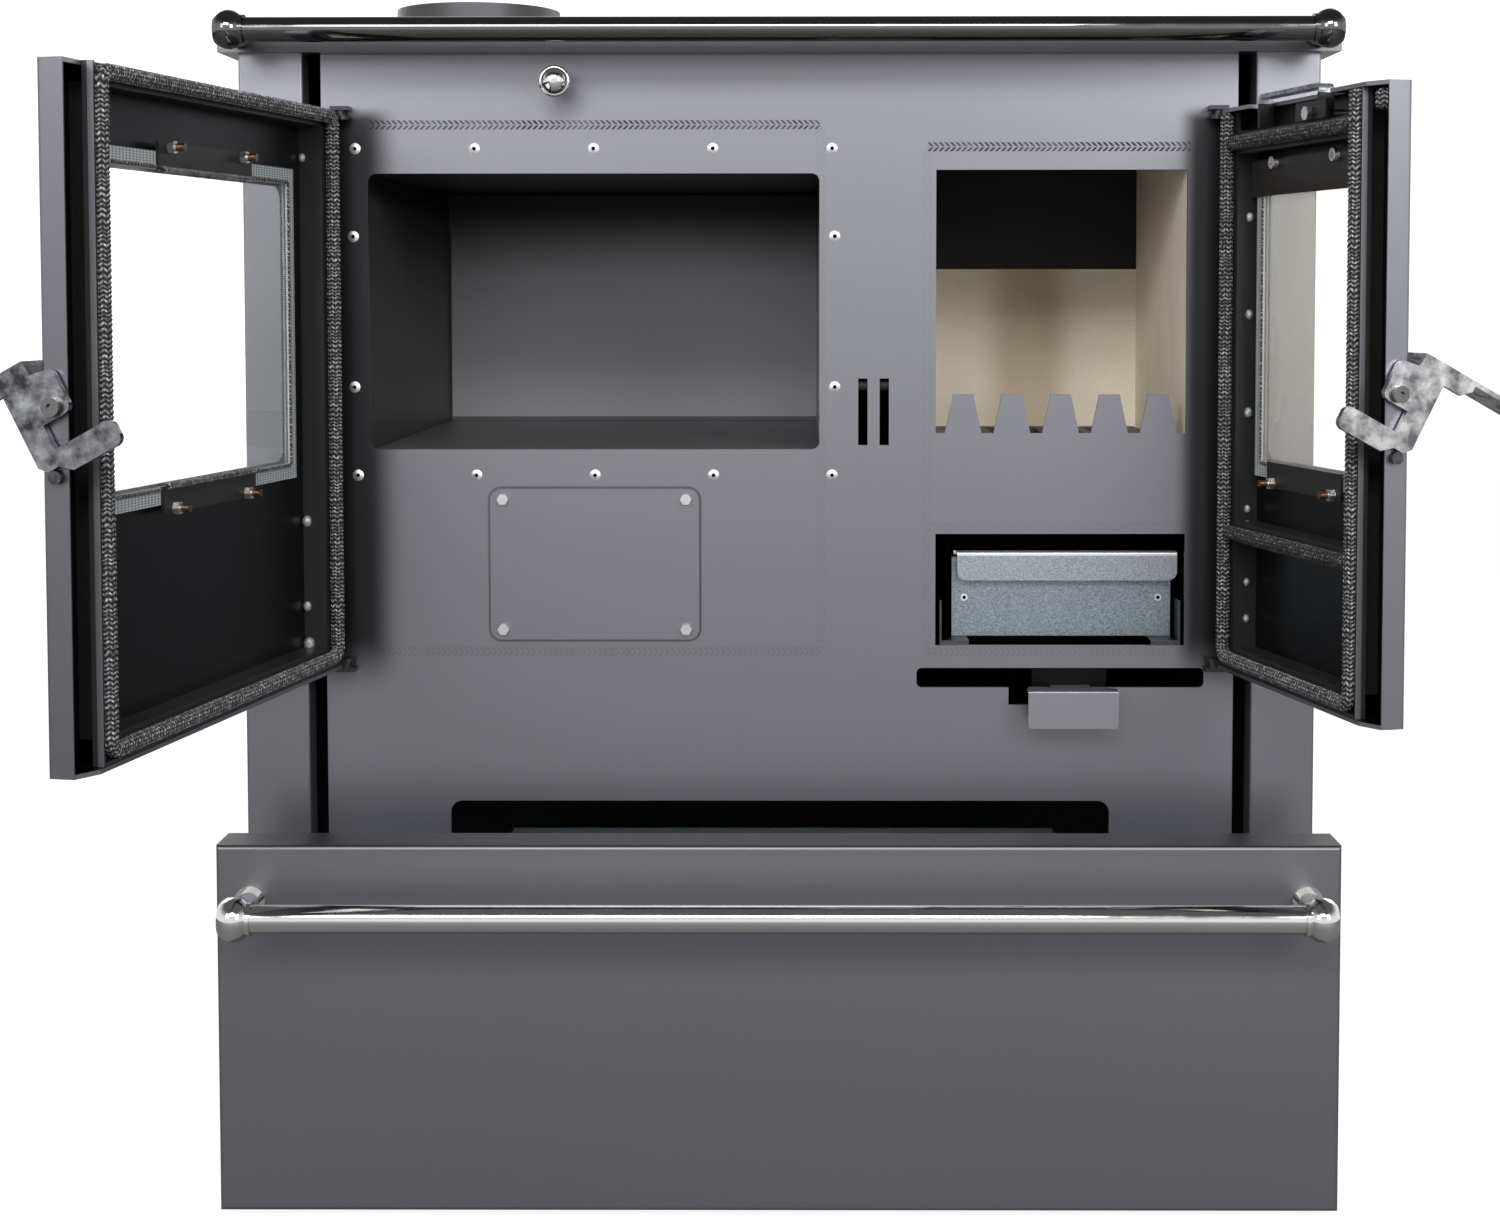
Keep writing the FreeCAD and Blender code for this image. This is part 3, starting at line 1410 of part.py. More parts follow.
save("damper_seat", damper_seat())
save("hob_frame", hob_frame())
save("cooking_plate", cooking_plate())
save("plate_lid", plate_lid())
save("flue_collar", flue_collar())
save("rail_tube", rail_tube())
save("rail_ends", rail_ends())
save("drawer_front", drawer_front())
save("drawer_box", drawer_box())
save("drawer_guides", drawer_guides())
save("drawer_handle_tube", drawer_handle_tube())
save("drawer_handle_ends", drawer_handle_ends())
save("hinge_brackets", hinge_brackets())
save("latch_keeper", latch_keeper())
for side, name in ((-1, "oven"), (1, "fire")):
    save(name + "_door_shell", swung(door_shell(side), side))
    save(name + "_door_frame", swung(door_frame(side), side))
    save(name + "_door_rope", swung(door_rope(side), side))
    save(name + "_door_glass", swung(door_glass(side), side))
    save(name + "_glass_tape", swung(glass_tape(side), side))
    save(name + "_glass_clips", swung(glass_clips(side), side))
    save(name + "_clip_studs", swung(clip_studs(side), side))
    save(name + "_door_screws", swung(door_screws(side), side))
    save(name + "_latch_lever", swung(latch_lever(side), side))
save("air_wash_slider", swung(air_wash_slider(), 1))
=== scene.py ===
import json
import math

import bpy
import numpy as np
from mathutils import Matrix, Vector


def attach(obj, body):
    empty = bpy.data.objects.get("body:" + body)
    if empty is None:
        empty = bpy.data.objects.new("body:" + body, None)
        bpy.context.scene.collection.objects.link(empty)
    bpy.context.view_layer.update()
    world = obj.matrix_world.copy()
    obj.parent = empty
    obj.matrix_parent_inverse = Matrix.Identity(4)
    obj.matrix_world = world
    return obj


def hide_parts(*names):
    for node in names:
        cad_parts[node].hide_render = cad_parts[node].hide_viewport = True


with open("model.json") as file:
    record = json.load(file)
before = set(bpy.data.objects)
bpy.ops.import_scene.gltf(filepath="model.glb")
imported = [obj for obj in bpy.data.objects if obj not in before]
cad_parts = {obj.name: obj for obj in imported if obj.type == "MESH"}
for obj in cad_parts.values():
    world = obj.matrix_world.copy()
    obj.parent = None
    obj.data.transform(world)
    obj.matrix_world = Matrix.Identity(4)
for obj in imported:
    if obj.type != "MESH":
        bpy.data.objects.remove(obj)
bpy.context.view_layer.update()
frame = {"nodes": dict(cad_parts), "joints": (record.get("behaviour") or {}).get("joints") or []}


# Casing: folded sheet-steel side panels, a rear panel and a base plate, joined at their edges.
# All are sprayed with satin anthracite heat paint, which dries to a fine even grain.

def add_node(tree, kind, values=None, **settings):
    """A shader node with its settings; each value is a constant or a socket to join."""
    node = tree.nodes.new(kind)
    for key, value in settings.items():
        setattr(node, key, value)
    for key, value in (values or {}).items():
        if isinstance(value, bpy.types.NodeSocket):
            tree.links.new(value, node.inputs[key])
        else:
            node.inputs[key].default_value = value
    return node


def add_math(tree, operation, first, second=0.0, third=0.0):
    """The result of one sum on up to three values."""
    values = {0: first, 1: second, 2: third}
    return add_node(tree, "ShaderNodeMath", values, operation=operation).outputs[0]


def add_range(tree, value, low, high, to_low, to_high, smooth=False):
    """The value carried from one range to another and clamped there."""
    kind = "SMOOTHSTEP" if smooth else "LINEAR"
    values = {0: value, 1: low, 2: high, 3: to_low, 4: to_high}
    return add_node(tree, "ShaderNodeMapRange", values, interpolation_type=kind).outputs[0]


def add_mix(tree, factor, first, second):
    """A colour between two others."""
    values = {0: factor, 6: first, 7: second}
    return add_node(tree, "ShaderNodeMix", values, data_type="RGBA").outputs[2]


def add_noise(tree, place, scale, detail=2.0, roughness=0.5):
    """Soft noise from zero to one, with so many waves to the metre."""
    values = {"Vector": place, "Scale": scale, "Detail": detail, "Roughness": roughness}
    return add_node(tree, "ShaderNodeTexNoise", values).outputs[0]


def add_bump(tree, height, strength, distance):
    """A surface direction that follows a height."""
    values = {"Height": height, "Strength": strength, "Distance": distance}
    return add_node(tree, "ShaderNodeBump", values).outputs[0]


def new_material(name):
    """A material with its tree, its shader and the object's own coordinates in metres."""
    material = bpy.data.materials.new(name)
    material.use_nodes = True
    tree = material.node_tree
    shader = tree.nodes["Principled BSDF"]
    place = add_node(tree, "ShaderNodeTexCoord").outputs["Object"]
    return material, tree, shader, place


def join(tree, socket, shader, name):
    """Leads a socket to one of the shader's inputs."""
    tree.links.new(socket, shader.inputs[name])


def shade(colour, factor):
    """A colour made lighter or darker, with its opacity."""
    return (colour[0] * factor, colour[1] * factor, colour[2] * factor, 1.0)


def heat_paint(name, colour, smooth=0.28, rough=0.36, flake=0.8):
    """Satin flake paint: mostly a dark mirror, with a fine sprayed grain in tone, gloss and relief and
    a slow, slight drift in tone."""
    material, tree, shader, place = new_material(name)
    drift = add_range(tree, add_noise(tree, place, 1.5, 2.0), 0.3, 0.7, 0.0, 1.0)
    tone = add_mix(tree, drift, shade(colour, 0.97), shade(colour, 1.03))
    grain = add_noise(tree, place, 1100.0, 2.0)
    fleck = add_range(tree, grain, 0.45, 0.75, 0.0, 0.3)
    join(tree, add_mix(tree, fleck, tone, shade(colour, 1.3)), shader, "Base Color")
    shader.inputs["Metallic"].default_value = flake
    join(tree, add_range(tree, grain, 0.3, 0.7, smooth, rough), shader, "Roughness")
    join(tree, add_bump(tree, grain, 0.015, 0.0002), shader, "Normal")
    return material


def repaint(material, mask, colour):
    """Lays another colour over a painted material where the mask is one."""
    tree = material.node_tree
    shader = tree.nodes["Principled BSDF"]
    base = shader.inputs["Base Color"].links[0].from_socket
    join(tree, add_mix(tree, mask, base, colour), shader, "Base Color")


def dress(material, *names):
    """Puts a material on the named solids."""
    for name in names:
        for slot in frame["nodes"][name].material_slots:
            slot.material = material


anthracite = (0.246, 0.247, 0.274)
dress(heat_paint("casing_paint", anthracite),
      "base_plate", "left_side_panel", "right_side_panel", "rear_panel")


# Front plate and soot hatch: sheets in the same paint, bolted together, with a painted shadow line where
# they meet.
# The door ropes have pressed a faint plaited print into the paint round the fields that the doors close, and
# painted shade darkens the plate beside both hinges.

def axes(tree):
    """The X, Y and Z of a shading point in the object's own coordinates, in metres."""
    place = add_node(tree, "ShaderNodeTexCoord").outputs["Object"]
    return add_node(tree, "ShaderNodeSeparateXYZ", {0: place}).outputs


def add_most(tree, masks):
    """The greatest of several masks."""
    most = masks[0]
    for mask in masks[1:]:
        most = add_math(tree, "MAXIMUM", most, mask)
    return most


def fade(tree, value, full, none):
    """One at the first level, easing to zero at the second."""
    return add_range(tree, value, min(full, none), max(full, none), float(full < none), float(full > none),
                     True)


def line_mask(tree, across, along, middle, low, high, half_width):
    """One inside a straight strip and zero outside, with soft sides."""
    off = add_math(tree, "ABSOLUTE", add_math(tree, "SUBTRACT", across, middle))
    beside = add_range(tree, off, half_width * 0.7, half_width, 1.0, 0.0)
    after = add_math(tree, "GREATER_THAN", along, low)
    before = add_math(tree, "LESS_THAN", along, high)
    return add_math(tree, "MULTIPLY", beside, add_math(tree, "MULTIPLY", after, before))


def plait_mask(tree, across, along, middle, pitch):
    """Slanted ticks either side of a line, as a plaited rope leaves them."""
    off = add_math(tree, "ABSOLUTE", add_math(tree, "SUBTRACT", across, middle))
    phase = add_math(tree, "ADD", along, off)
    wave = add_math(tree, "SINE", add_math(tree, "MULTIPLY", phase, 2 * math.pi / pitch))
    from_row = add_math(tree, "ABSOLUTE", add_math(tree, "SUBTRACT", off, print_row))
    edge = add_range(tree, from_row, 0.0012, print_row, 1.0, 0.0)
    return add_math(tree, "MULTIPLY", add_range(tree, wave, -0.3, 0.2, 0.0, 1.0), edge)


def seam_mask(tree, x, z, middle, half, corner, width):
    """One along the outline of a rounded rectangle and zero a little way from it."""
    gaps = []
    for value, centre, reach in ((x, middle[0], half[0]), (z, middle[1], half[1])):
        off = add_math(tree, "ABSOLUTE", add_math(tree, "SUBTRACT", value, centre))
        gaps.append(add_math(tree, "SUBTRACT", off, reach - corner))
    beyond = [add_math(tree, "POWER", add_math(tree, "MAXIMUM", gap, 0.0), 2.0) for gap in gaps]
    outside = add_math(tree, "SQRT", add_math(tree, "ADD", beyond[0], beyond[1]))
    inside = add_math(tree, "MINIMUM", add_math(tree, "MAXIMUM", gaps[0], gaps[1]), 0.0)
    distance = add_math(tree, "SUBTRACT", add_math(tree, "ADD", outside, inside), corner)
    return add_range(tree, add_math(tree, "ABSOLUTE", distance), width / 3, width, 1.0, 0.0)


def printed_plate(name, colour, prints):
    """Heat paint with rope prints, the hatch's outline as a painted shadow line and painted shade beside the
    hinges; each print is (vertical or not, middle, low, high, depth)."""
    material = heat_paint(name, colour)
    tree = material.node_tree
    place = add_node(tree, "ShaderNodeTexCoord").outputs["Object"]
    x, _, z = axes(tree)
    marks = []
    for upright, middle, low, high, depth in prints:
        across, along = (x, z) if upright else (z, x)
        strip = line_mask(tree, across, along, middle, low, high, print_width / 2)
        ticks = add_math(tree, "MULTIPLY", plait_mask(tree, across, along, middle, print_pitch), depth)
        marks.append(add_math(tree, "MULTIPLY", strip, ticks))
    patchy = add_range(tree, add_noise(tree, place, 24.0, 3.0), 0.35, 0.6, 0.65, 1.0)
    pressed = add_math(tree, "MULTIPLY", add_most(tree, marks), patchy)
    # The hatch's outline is a painted shadow line in the gap round the cover.
    seam = seam_mask(tree, x, z, hatch_middle, hatch_half, hatch_corner, hatch_shadow_width)
    dark = add_math(tree, "MAXIMUM", pressed, add_math(tree, "MULTIPLY", seam, 0.55))
    repaint(material, dark, shade(colour, 0.10))
    # Painted shade: nearly black bands beside both hinges, where the open doors shade the plate.
    hinge_shade = add_most(tree, [fade(tree, x, full, none) for full, none in hinge_shade_sides])
    for full, none in hinge_shade_levels:
        hinge_shade = add_math(tree, "MULTIPLY", hinge_shade, fade(tree, z, full, none))
    repaint(material, add_math(tree, "MULTIPLY", hinge_shade, 0.93), shade(colour, 0.06))
    return material


print_width = 0.009
print_pitch = 0.0042
print_row = 0.0019
hatch_middle = (-0.1387, 0.4526)
hatch_half = (0.0791, 0.05765)
hatch_corner = 0.009
# Width of the hatch's painted shadow line, and the sides and levels of the painted shade beside the hinges.
hatch_shadow_width = 0.0013
hinge_shade_sides = ((-0.3085, -0.281), (0.312, 0.294))
hinge_shade_levels = ((0.400, 0.350), (0.784, 0.796))
oven_field = (-0.3055, 0.0310, 0.3865, 0.7810)
fire_field = (0.1105, 0.3060, 0.3865, 0.7645)
fire_field_middle = 0.4805
plate_prints = [
    (False, oven_field[3], oven_field[0], oven_field[1], 1.0),
    (False, oven_field[2], oven_field[0], oven_field[1], 0.20),
    (True, oven_field[0], oven_field[2], oven_field[3], 0.10),
    (True, oven_field[1], oven_field[2], oven_field[3], 0.12),
    (False, fire_field[3], fire_field[0], fire_field[1], 1.0),
    (False, fire_field_middle, fire_field[0], fire_field[1], 0.10),
    (False, fire_field[2], fire_field[0], fire_field[1], 0.16),
    (True, fire_field[0], fire_field[2], fire_field[3], 0.08),
    (True, fire_field[1], fire_field[2], fire_field[3], 0.16),
]
dress(printed_plate("plate_paint", anthracite, plate_prints), "front_plate", "soot_hatch_cover")


# Oven box: a folded sheet liner in a flat grey coating, with painted shade darkening its roof, floor and
# left wall, held to the plate by blind rivets whose aluminium heads keep the hole that the mandrel leaves.

def bare_metal(name, light, dark, smooth, rough, scale):
    """Plated or bare metal: cloudy patches between two tones and two glosses, with fine scratches."""
    material, tree, shader, place = new_material(name)
    cloud = add_range(tree, add_noise(tree, place, scale, 4.0, 0.6), 0.35, 0.65, 0.0, 1.0)
    join(tree, add_mix(tree, cloud, shade(dark, 1.0), shade(light, 1.0)), shader, "Base Color")
    join(tree, add_range(tree, cloud, 0.0, 1.0, rough, smooth), shader, "Roughness")
    shader.inputs["Metallic"].default_value = 1.0
    scratch = add_noise(tree, place, scale * 18, 2.0)
    join(tree, add_bump(tree, scratch, 0.08, 0.0001), shader, "Normal")
    return material


def oven_coating(name):
    """Flat grey coating with painted shade: darker towards the roof, on the floor and on the left side."""
    material = heat_paint(name, (0.37, 0.37, 0.39), 0.40, 0.50, 0.35)
    tree = material.node_tree
    across, _, height = axes(tree)
    roof_shade = add_range(tree, height, roof_shade_foot, roof_shade_full, 0.0, 0.97, True)
    side = add_math(tree, "MULTIPLY", add_math(tree, "LESS_THAN", across, oven_side), 0.86)
    bottom = add_math(tree, "MULTIPLY", add_math(tree, "LESS_THAN", height, oven_bottom), 0.68)
    repaint(material, add_most(tree, [side, bottom, roof_shade]), (0.003, 0.003, 0.0035, 1.0))
    tree.nodes["Principled BSDF"].inputs["Specular IOR Level"].default_value = 0.2
    return material


def extent(node, axis):
    """The lowest and highest coordinate of a solid along one axis."""
    values = [vertex.co[axis] for vertex in frame["nodes"][node].data.vertices]
    return min(values), max(values)


# Painted shade in the oven: it darkens the roof between these heights, and the left wall and floor beyond
# these limits.
roof_shade_foot = 0.665
roof_shade_full = 0.738
oven_side = -0.3045
oven_bottom = 0.5425
rivet_head = 0.0012
dress(oven_coating("oven_coating"), "oven_box")
for node in ("oven_rivets", "ash_pan_rivets"):
    aluminium = bare_metal(node + "_aluminium", (0.86, 0.87, 0.88), (0.68, 0.69, 0.70), 0.46, 0.60, 400.0)
    tree = aluminium.node_tree
    # Painted shade: beyond its head, down the bore and behind the plate, each rivet is painted black.
    behind = add_math(tree, "GREATER_THAN", axes(tree)[1], extent(node, 1)[0] + rivet_head)
    repaint(aluminium, behind, (0.004, 0.004, 0.004, 1.0))
    dress(aluminium, node)
dress(bare_metal("zinc_hardware", (0.88, 0.88, 0.87), (0.66, 0.66, 0.65), 0.22, 0.36, 260.0),
      "soot_hatch_bolts", "damper_rod")


# Inner walls, damper plate, drawer guides, keeper and hinge tabs: plain welded steel in matt black heat
# paint, most of it out of sight behind the front plate. The hinge tabs are a near-black copy of the casing's
# paint, dark as painted shade.

black = (0.018, 0.018, 0.019)
inner_black = heat_paint("inner_black", black, 0.5, 0.62, 0.0)
inner_black.node_tree.nodes["Principled BSDF"].inputs["Specular IOR Level"].default_value = 0.2
dress(inner_black,
      "inner_side_walls", "inner_rear_wall", "smoke_floor", "firebox_partition", "firebox_floor",
      "firebox_rear_plate", "damper_plate", "damper_seat", "drawer_guides",
      "latch_keeper")
# Painted shade: the hinge tabs are a fifth of the casing's tone.
dress(heat_paint("hinge_paint", shade(anthracite, 0.2)), "hinge_brackets")


# Firebox lining and cooking plate: pressed vermiculite bricks, beige with darker and paler flakes, stand
# loose round a cast grate; the cooking plate and its lid are cast too.

def vermiculite(name):
    """Pressed flakes: a warm ground, small dark and pale specks, a brown band of painted shade down the
    middle of the firebox, and a rough open surface."""
    material, tree, shader, place = new_material(name)
    ground = add_range(tree, add_noise(tree, place, 22.0, 3.0), 0.3, 0.7, 0.0, 1.0)
    tone = add_mix(tree, ground, (0.86, 0.775, 0.635, 1.0), (0.94, 0.87, 0.73, 1.0))
    flakes = add_node(tree, "ShaderNodeTexVoronoi", {"Vector": place, "Scale": 420.0})
    dark = add_range(tree, flakes.outputs["Distance"], 0.1, 0.22, 0.45, 0.0)
    tone = add_mix(tree, dark, tone, (0.50, 0.41, 0.30, 1.0))
    pale = add_range(tree, add_noise(tree, place, 520.0, 1.0), 0.66, 0.72, 0.0, 0.6)
    tone = add_mix(tree, pale, tone, (0.93, 0.88, 0.77, 1.0))
    off = add_math(tree, "ABSOLUTE", add_math(tree, "SUBTRACT", axes(tree)[0], brick_shade_middle))
    brick_shade = add_range(tree, off, 0.012, 0.046, 0.55, 0.0, True)
    join(tree, add_mix(tree, brick_shade, tone, (0.44, 0.32, 0.185, 1.0)), shader, "Base Color")
    shader.inputs["Roughness"].default_value = 0.9
    join(tree, add_bump(tree, add_noise(tree, place, 420.0, 3.0), 0.5, 0.0006), shader, "Normal")
    return material


def cast_iron(name):
    """Bare castings: dark grey, with the soft pitted skin that sand leaves."""
    material, tree, shader, place = new_material(name)
    drift = add_range(tree, add_noise(tree, place, 9.0, 4.0), 0.3, 0.7, 0.0, 1.0)
    join(tree, add_mix(tree, drift, (0.045, 0.045, 0.047, 1.0), (0.075, 0.074, 0.074, 1.0)), shader,
         "Base Color")
    shader.inputs["Metallic"].default_value = 0.55
    join(tree, add_range(tree, add_noise(tree, place, 60.0, 3.0), 0.3, 0.7, 0.42, 0.62), shader, "Roughness")
    join(tree, add_bump(tree, add_noise(tree, place, 700.0, 3.0), 0.35, 0.0004), shader, "Normal")
    return material


# The brown band of painted shade on the bricks is centred here.
brick_shade_middle = 0.211
dress(vermiculite("firebrick"), "side_bricks", "rear_brick")
dress(cast_iron("cast_black"), "fire_grate", "cooking_plate", "plate_lid")


# Ash pan and drawer box: folded galvanised sheet with a fine spangle. The pan is painted black behind its
# front, and its folded pull is riveted on in front, with a painted highlight along its top fold. The guides
# are a dark copy of the zinc, as painted shade.

def galvanised(name, light, dark, metal=0.85):
    """Zinc crystals as small cells, each with its own tone and gloss, under a fine grain."""
    material, tree, shader, place = new_material(name)
    cells = add_node(tree, "ShaderNodeTexVoronoi", {"Vector": place, "Scale": 1500.0})
    grey = add_node(tree, "ShaderNodeSeparateColor", {0: cells.outputs["Color"]}).outputs[0]
    fine = add_noise(tree, place, 1700.0, 2.0)
    grey = add_math(tree, "MULTIPLY", grey, 0.45)
    grey = add_math(tree, "ADD", grey, add_math(tree, "MULTIPLY", fine, 0.55))
    grey = add_range(tree, grey, 0.28, 0.72, 0.0, 1.0)
    join(tree, add_mix(tree, grey, shade(dark, 1.0), shade(light, 1.0)), shader, "Base Color")
    shader.inputs["Metallic"].default_value = metal
    join(tree, add_range(tree, grey, 0.0, 1.0, 0.50, 0.34), shader, "Roughness")
    join(tree, add_bump(tree, fine, 0.4, 0.0003), shader, "Normal")
    return material


def blackened_behind(material, depth):
    """Blackens what lies further back than a depth from the front plate, and dulls its gloss."""
    tree = material.node_tree
    tree.nodes["Principled BSDF"].inputs["Specular IOR Level"].default_value = 0.25
    repaint(material, add_math(tree, "GREATER_THAN", axes(tree)[1], depth), shade(black, 0.5))
    return material


def top_light_and_shade(material, node, foot, full, share, colour):
    """Lays painted light or painted shade in another colour over the top of a solid, from one depth below
    its highest point to another.
    """
    tree = material.node_tree
    top = extent(node, 2)[1]
    repaint(material, add_range(tree, axes(tree)[2], top - foot, top - full, 0.0, share), colour)
    return material


pan_front = 0.0248
guide_front = 0.0046
dress(blackened_behind(galvanised("pan_zinc", (0.37, 0.43, 0.475), (0.16, 0.185, 0.205)), pan_front), "ash_pan")
lip_zinc = blackened_behind(galvanised("lip_zinc", (0.47, 0.50, 0.55), (0.25, 0.27, 0.30)), pan_front)
# Painted highlight: the lip's top fold is laid nearly white.
dress(top_light_and_shade(lip_zinc, "ash_pan_lip", 0.0032, 0.0018, 0.8, (0.95, 0.96, 0.98, 1.0)), "ash_pan_lip")
# Painted shade: the guides are a dark copy of the zinc, and black behind their front.
shaded_guide_zinc = galvanised("shaded_guide_zinc", (0.11, 0.115, 0.125), (0.05, 0.052, 0.057))
dress(blackened_behind(shaded_guide_zinc, guide_front), "ash_pan_guides")
dress(galvanised("drawer_zinc", (0.66, 0.73, 0.78), (0.46, 0.52, 0.56), 0.2), "drawer_box")


# Primary air slider: a folded steel strip with a bare pull tab, in a lighter copy of the casing's paint in
# front of the plate as painted light, and black behind it as painted shade.

plate_front = 0.001
# Painted light and shade: the front is 1.3 times the casing's tone, and what lies behind the plate is black.
dress(blackened_behind(heat_paint("slider_paint", shade(anthracite, 1.3)), plate_front), "air_slider")


# Hob: a folded frame in a darker copy of the casing's paint, dark as painted shade under the rail, set on
# the casing. The flue collar, in a duller coat, stands on the cooking plate.

dress(heat_paint("hob_paint", (0.15, 0.151, 0.167)), "hob_frame")
dress(heat_paint("collar_paint", (0.09, 0.09, 0.097), 0.42, 0.52), "flue_collar")


# Bright work: rail, drawer handle and damper knob, turned and drawn in steel and chromed. Each tube lies
# between two turned ends on standoffs, and the knob is on the end of its rod.

def chrome(name, tone):
    """Chrome plate: nearly a mirror, with faint drawing lines and a slight haze."""
    material, tree, shader, place = new_material(name)
    shader.inputs["Base Color"].default_value = shade((1.0, 0.98, 0.965), tone)
    shader.inputs["Metallic"].default_value = 1.0
    haze = add_noise(tree, place, 45.0, 3.0)
    join(tree, add_range(tree, haze, 0.35, 0.7, 0.05, 0.13), shader, "Roughness")
    join(tree, add_bump(tree, add_noise(tree, place, 1500.0, 1.0), 0.02, 0.0001), shader, "Normal")
    return material


# Painted shade: the rail's chrome is toned down to 0.15 for the dark surroundings it mirrors; the handle's
# is 0.72.
dress(chrome("rail_chrome_shaded", 0.15), "rail_tube", "rail_ends")
dress(chrome("handle_chrome", 0.72), "drawer_handle_tube", "drawer_handle_ends", "damper_knob")


# Drawer front: a folded steel pan in a darker copy of the casing's paint as painted shade, with painted
# shade nearly black on its upper face. The drawer's box is fixed behind it.

drawer_paint = heat_paint("drawer_paint", shade(anthracite, 0.76), 0.38, 0.46)
dress(top_light_and_shade(drawer_paint, "drawer_front", 0.0012, 0.0004, 0.75, shade(black, 1.0)), "drawer_front")


# Doors: each is a folded shell, in the casing's paint outside and black heat paint inside, round a welded
# black frame whose edge towards the free side got the casing's colour, with the glass clips on studs. The
# oven door's free edge and the frame's edge below its upper strip are darkened as painted shade.

def door_turn(door):
    """The hinge's place and the angle about +Z from closed to where the door stands."""
    joint = next(item for item in frame["joints"] if item["name"] == door + "_door_swing")
    return Vector(joint["pos_m"]), math.radians(-joint["range_deg"][0]) * joint["axis"][2]


def closed_box(door, node):
    """Lowest and highest corners of a node with its door turned back to closed."""
    hinge, angle = door_turn(door)
    mesh = frame["nodes"][node].data
    points = np.empty(len(mesh.vertices) * 3)
    mesh.vertices.foreach_get("co", points)
    points = points.reshape(-1, 3)
    x = points[:, 0] - hinge.x
    y = points[:, 1] - hinge.y
    closed = np.stack([hinge.x + x * math.cos(angle) + y * math.sin(angle),
                       hinge.y - x * math.sin(angle) + y * math.cos(angle), points[:, 2]], axis=1)
    return closed.min(axis=0), closed.max(axis=0)


def door_places(tree, door):
    """The X, Y and Z of a shading point with its door turned back to closed."""
    place = add_node(tree, "ShaderNodeTexCoord").outputs["Object"]
    hinge, angle = door_turn(door)
    flat = add_node(tree, "ShaderNodeVectorRotate", {"Vector": place, "Center": hinge, "Angle": -angle},
                    rotation_type="Z_AXIS").outputs[0]
    return add_node(tree, "ShaderNodeSeparateXYZ", {0: flat}).outputs


def free_side(door, low, high):
    """The X of a door piece's edge away from the hinge, with the door closed."""
    return high[0] if door == "oven" else low[0]


def shell_paint(door):
    """Anthracite with black inside: outside is within half a sheet of the face, the free edge or a cap.
    The oven door's free edge is darkened as painted shade."""
    material = heat_paint(door + "_door_paint", anthracite)
    tree = material.node_tree
    x, y, z = door_places(tree, door)
    low, high = closed_box(door, door + "_door_shell")
    skin = 0.0008
    cap = 0.0028
    edge = add_math(tree, "COMPARE", x, free_side(door, low, high), skin)
    # Painted shade on the oven door's free edge.
    repaint(material, edge, shade(anthracite, free_edge_shade[door]))
    face = add_math(tree, "COMPARE", y, low[1], skin)
    caps = [add_math(tree, "COMPARE", z, level, cap) for level in (low[2], high[2])]
    outside = add_most(tree, [edge, face] + caps)
    repaint(material, add_math(tree, "SUBTRACT", 1.0, outside), shade(black, 0.7))
    return material


def frame_paint(door):
    """Black with the upper strip of its free edge in anthracite; the free edge below the strip stays black
    as painted shade for the hollow behind it.
    """
    material = heat_paint(door + "_frame_paint", (0.030, 0.0285, 0.029), 0.34, 0.48, 0.3)
    tree = material.node_tree
    x, y, _ = door_places(tree, door)
    low, high = closed_box(door, door + "_door_frame")
    edge = add_math(tree, "COMPARE", x, free_side(door, low, high), 0.0004)
    # Below the strip the frame's free edge keeps the black, as painted shade.
    upper = add_math(tree, "GREATER_THAN", y, strip_depth)
    strip = add_math(tree, "MULTIPLY", edge, upper)
    repaint(material, strip, shade(anthracite, 1.0))
    join(tree, add_range(tree, strip, 0.0, 1.0, 0.3, 0.8), tree.nodes["Principled BSDF"], "Metallic")
    return material


def threaded_metal(name, door, light, dark):
    """Plated studs: cloudy metal, heat-browned at the tip, with the rings of a thread along the depth."""
    material = bare_metal(name, light, dark, 0.22, 0.40, 300.0)
    tree = material.node_tree
    y = door_places(tree, door)[1]
    tip = closed_box(door, door + "_clip_studs")[1][1] - stud_tip
    repaint(material, add_math(tree, "GREATER_THAN", y, tip), (0.20, 0.125, 0.085, 1.0))
    ring = add_math(tree, "SINE", add_math(tree, "MULTIPLY", y, 2 * math.pi / thread_pitch))
    join(tree, add_bump(tree, ring, 0.5, 0.0002), tree.nodes["Principled BSDF"], "Normal")
    return material


doors = ("oven", "fire")
free_edge_shade = {"oven": 0.70, "fire": 1.0}
strip_depth = -0.0098
stud_tip = 0.0055
thread_pitch = 0.0008
for door in doors:
    dress(shell_paint(door), door + "_door_shell")
    dress(frame_paint(door), door + "_door_frame")
    dress(threaded_metal(door + "_stud_zinc", door, (0.82, 0.80, 0.77), (0.48, 0.45, 0.42)),
          door + "_clip_studs")
dress(heat_paint("clip_black", (0.024, 0.021, 0.019), 0.34, 0.46, 0.3),
      "oven_glass_clips", "fire_glass_clips")


# Air-wash slider: a flat strip bent over the top of the fire door, where a bolt guides it in a slot.
# It is black below and rubbed bright on top.

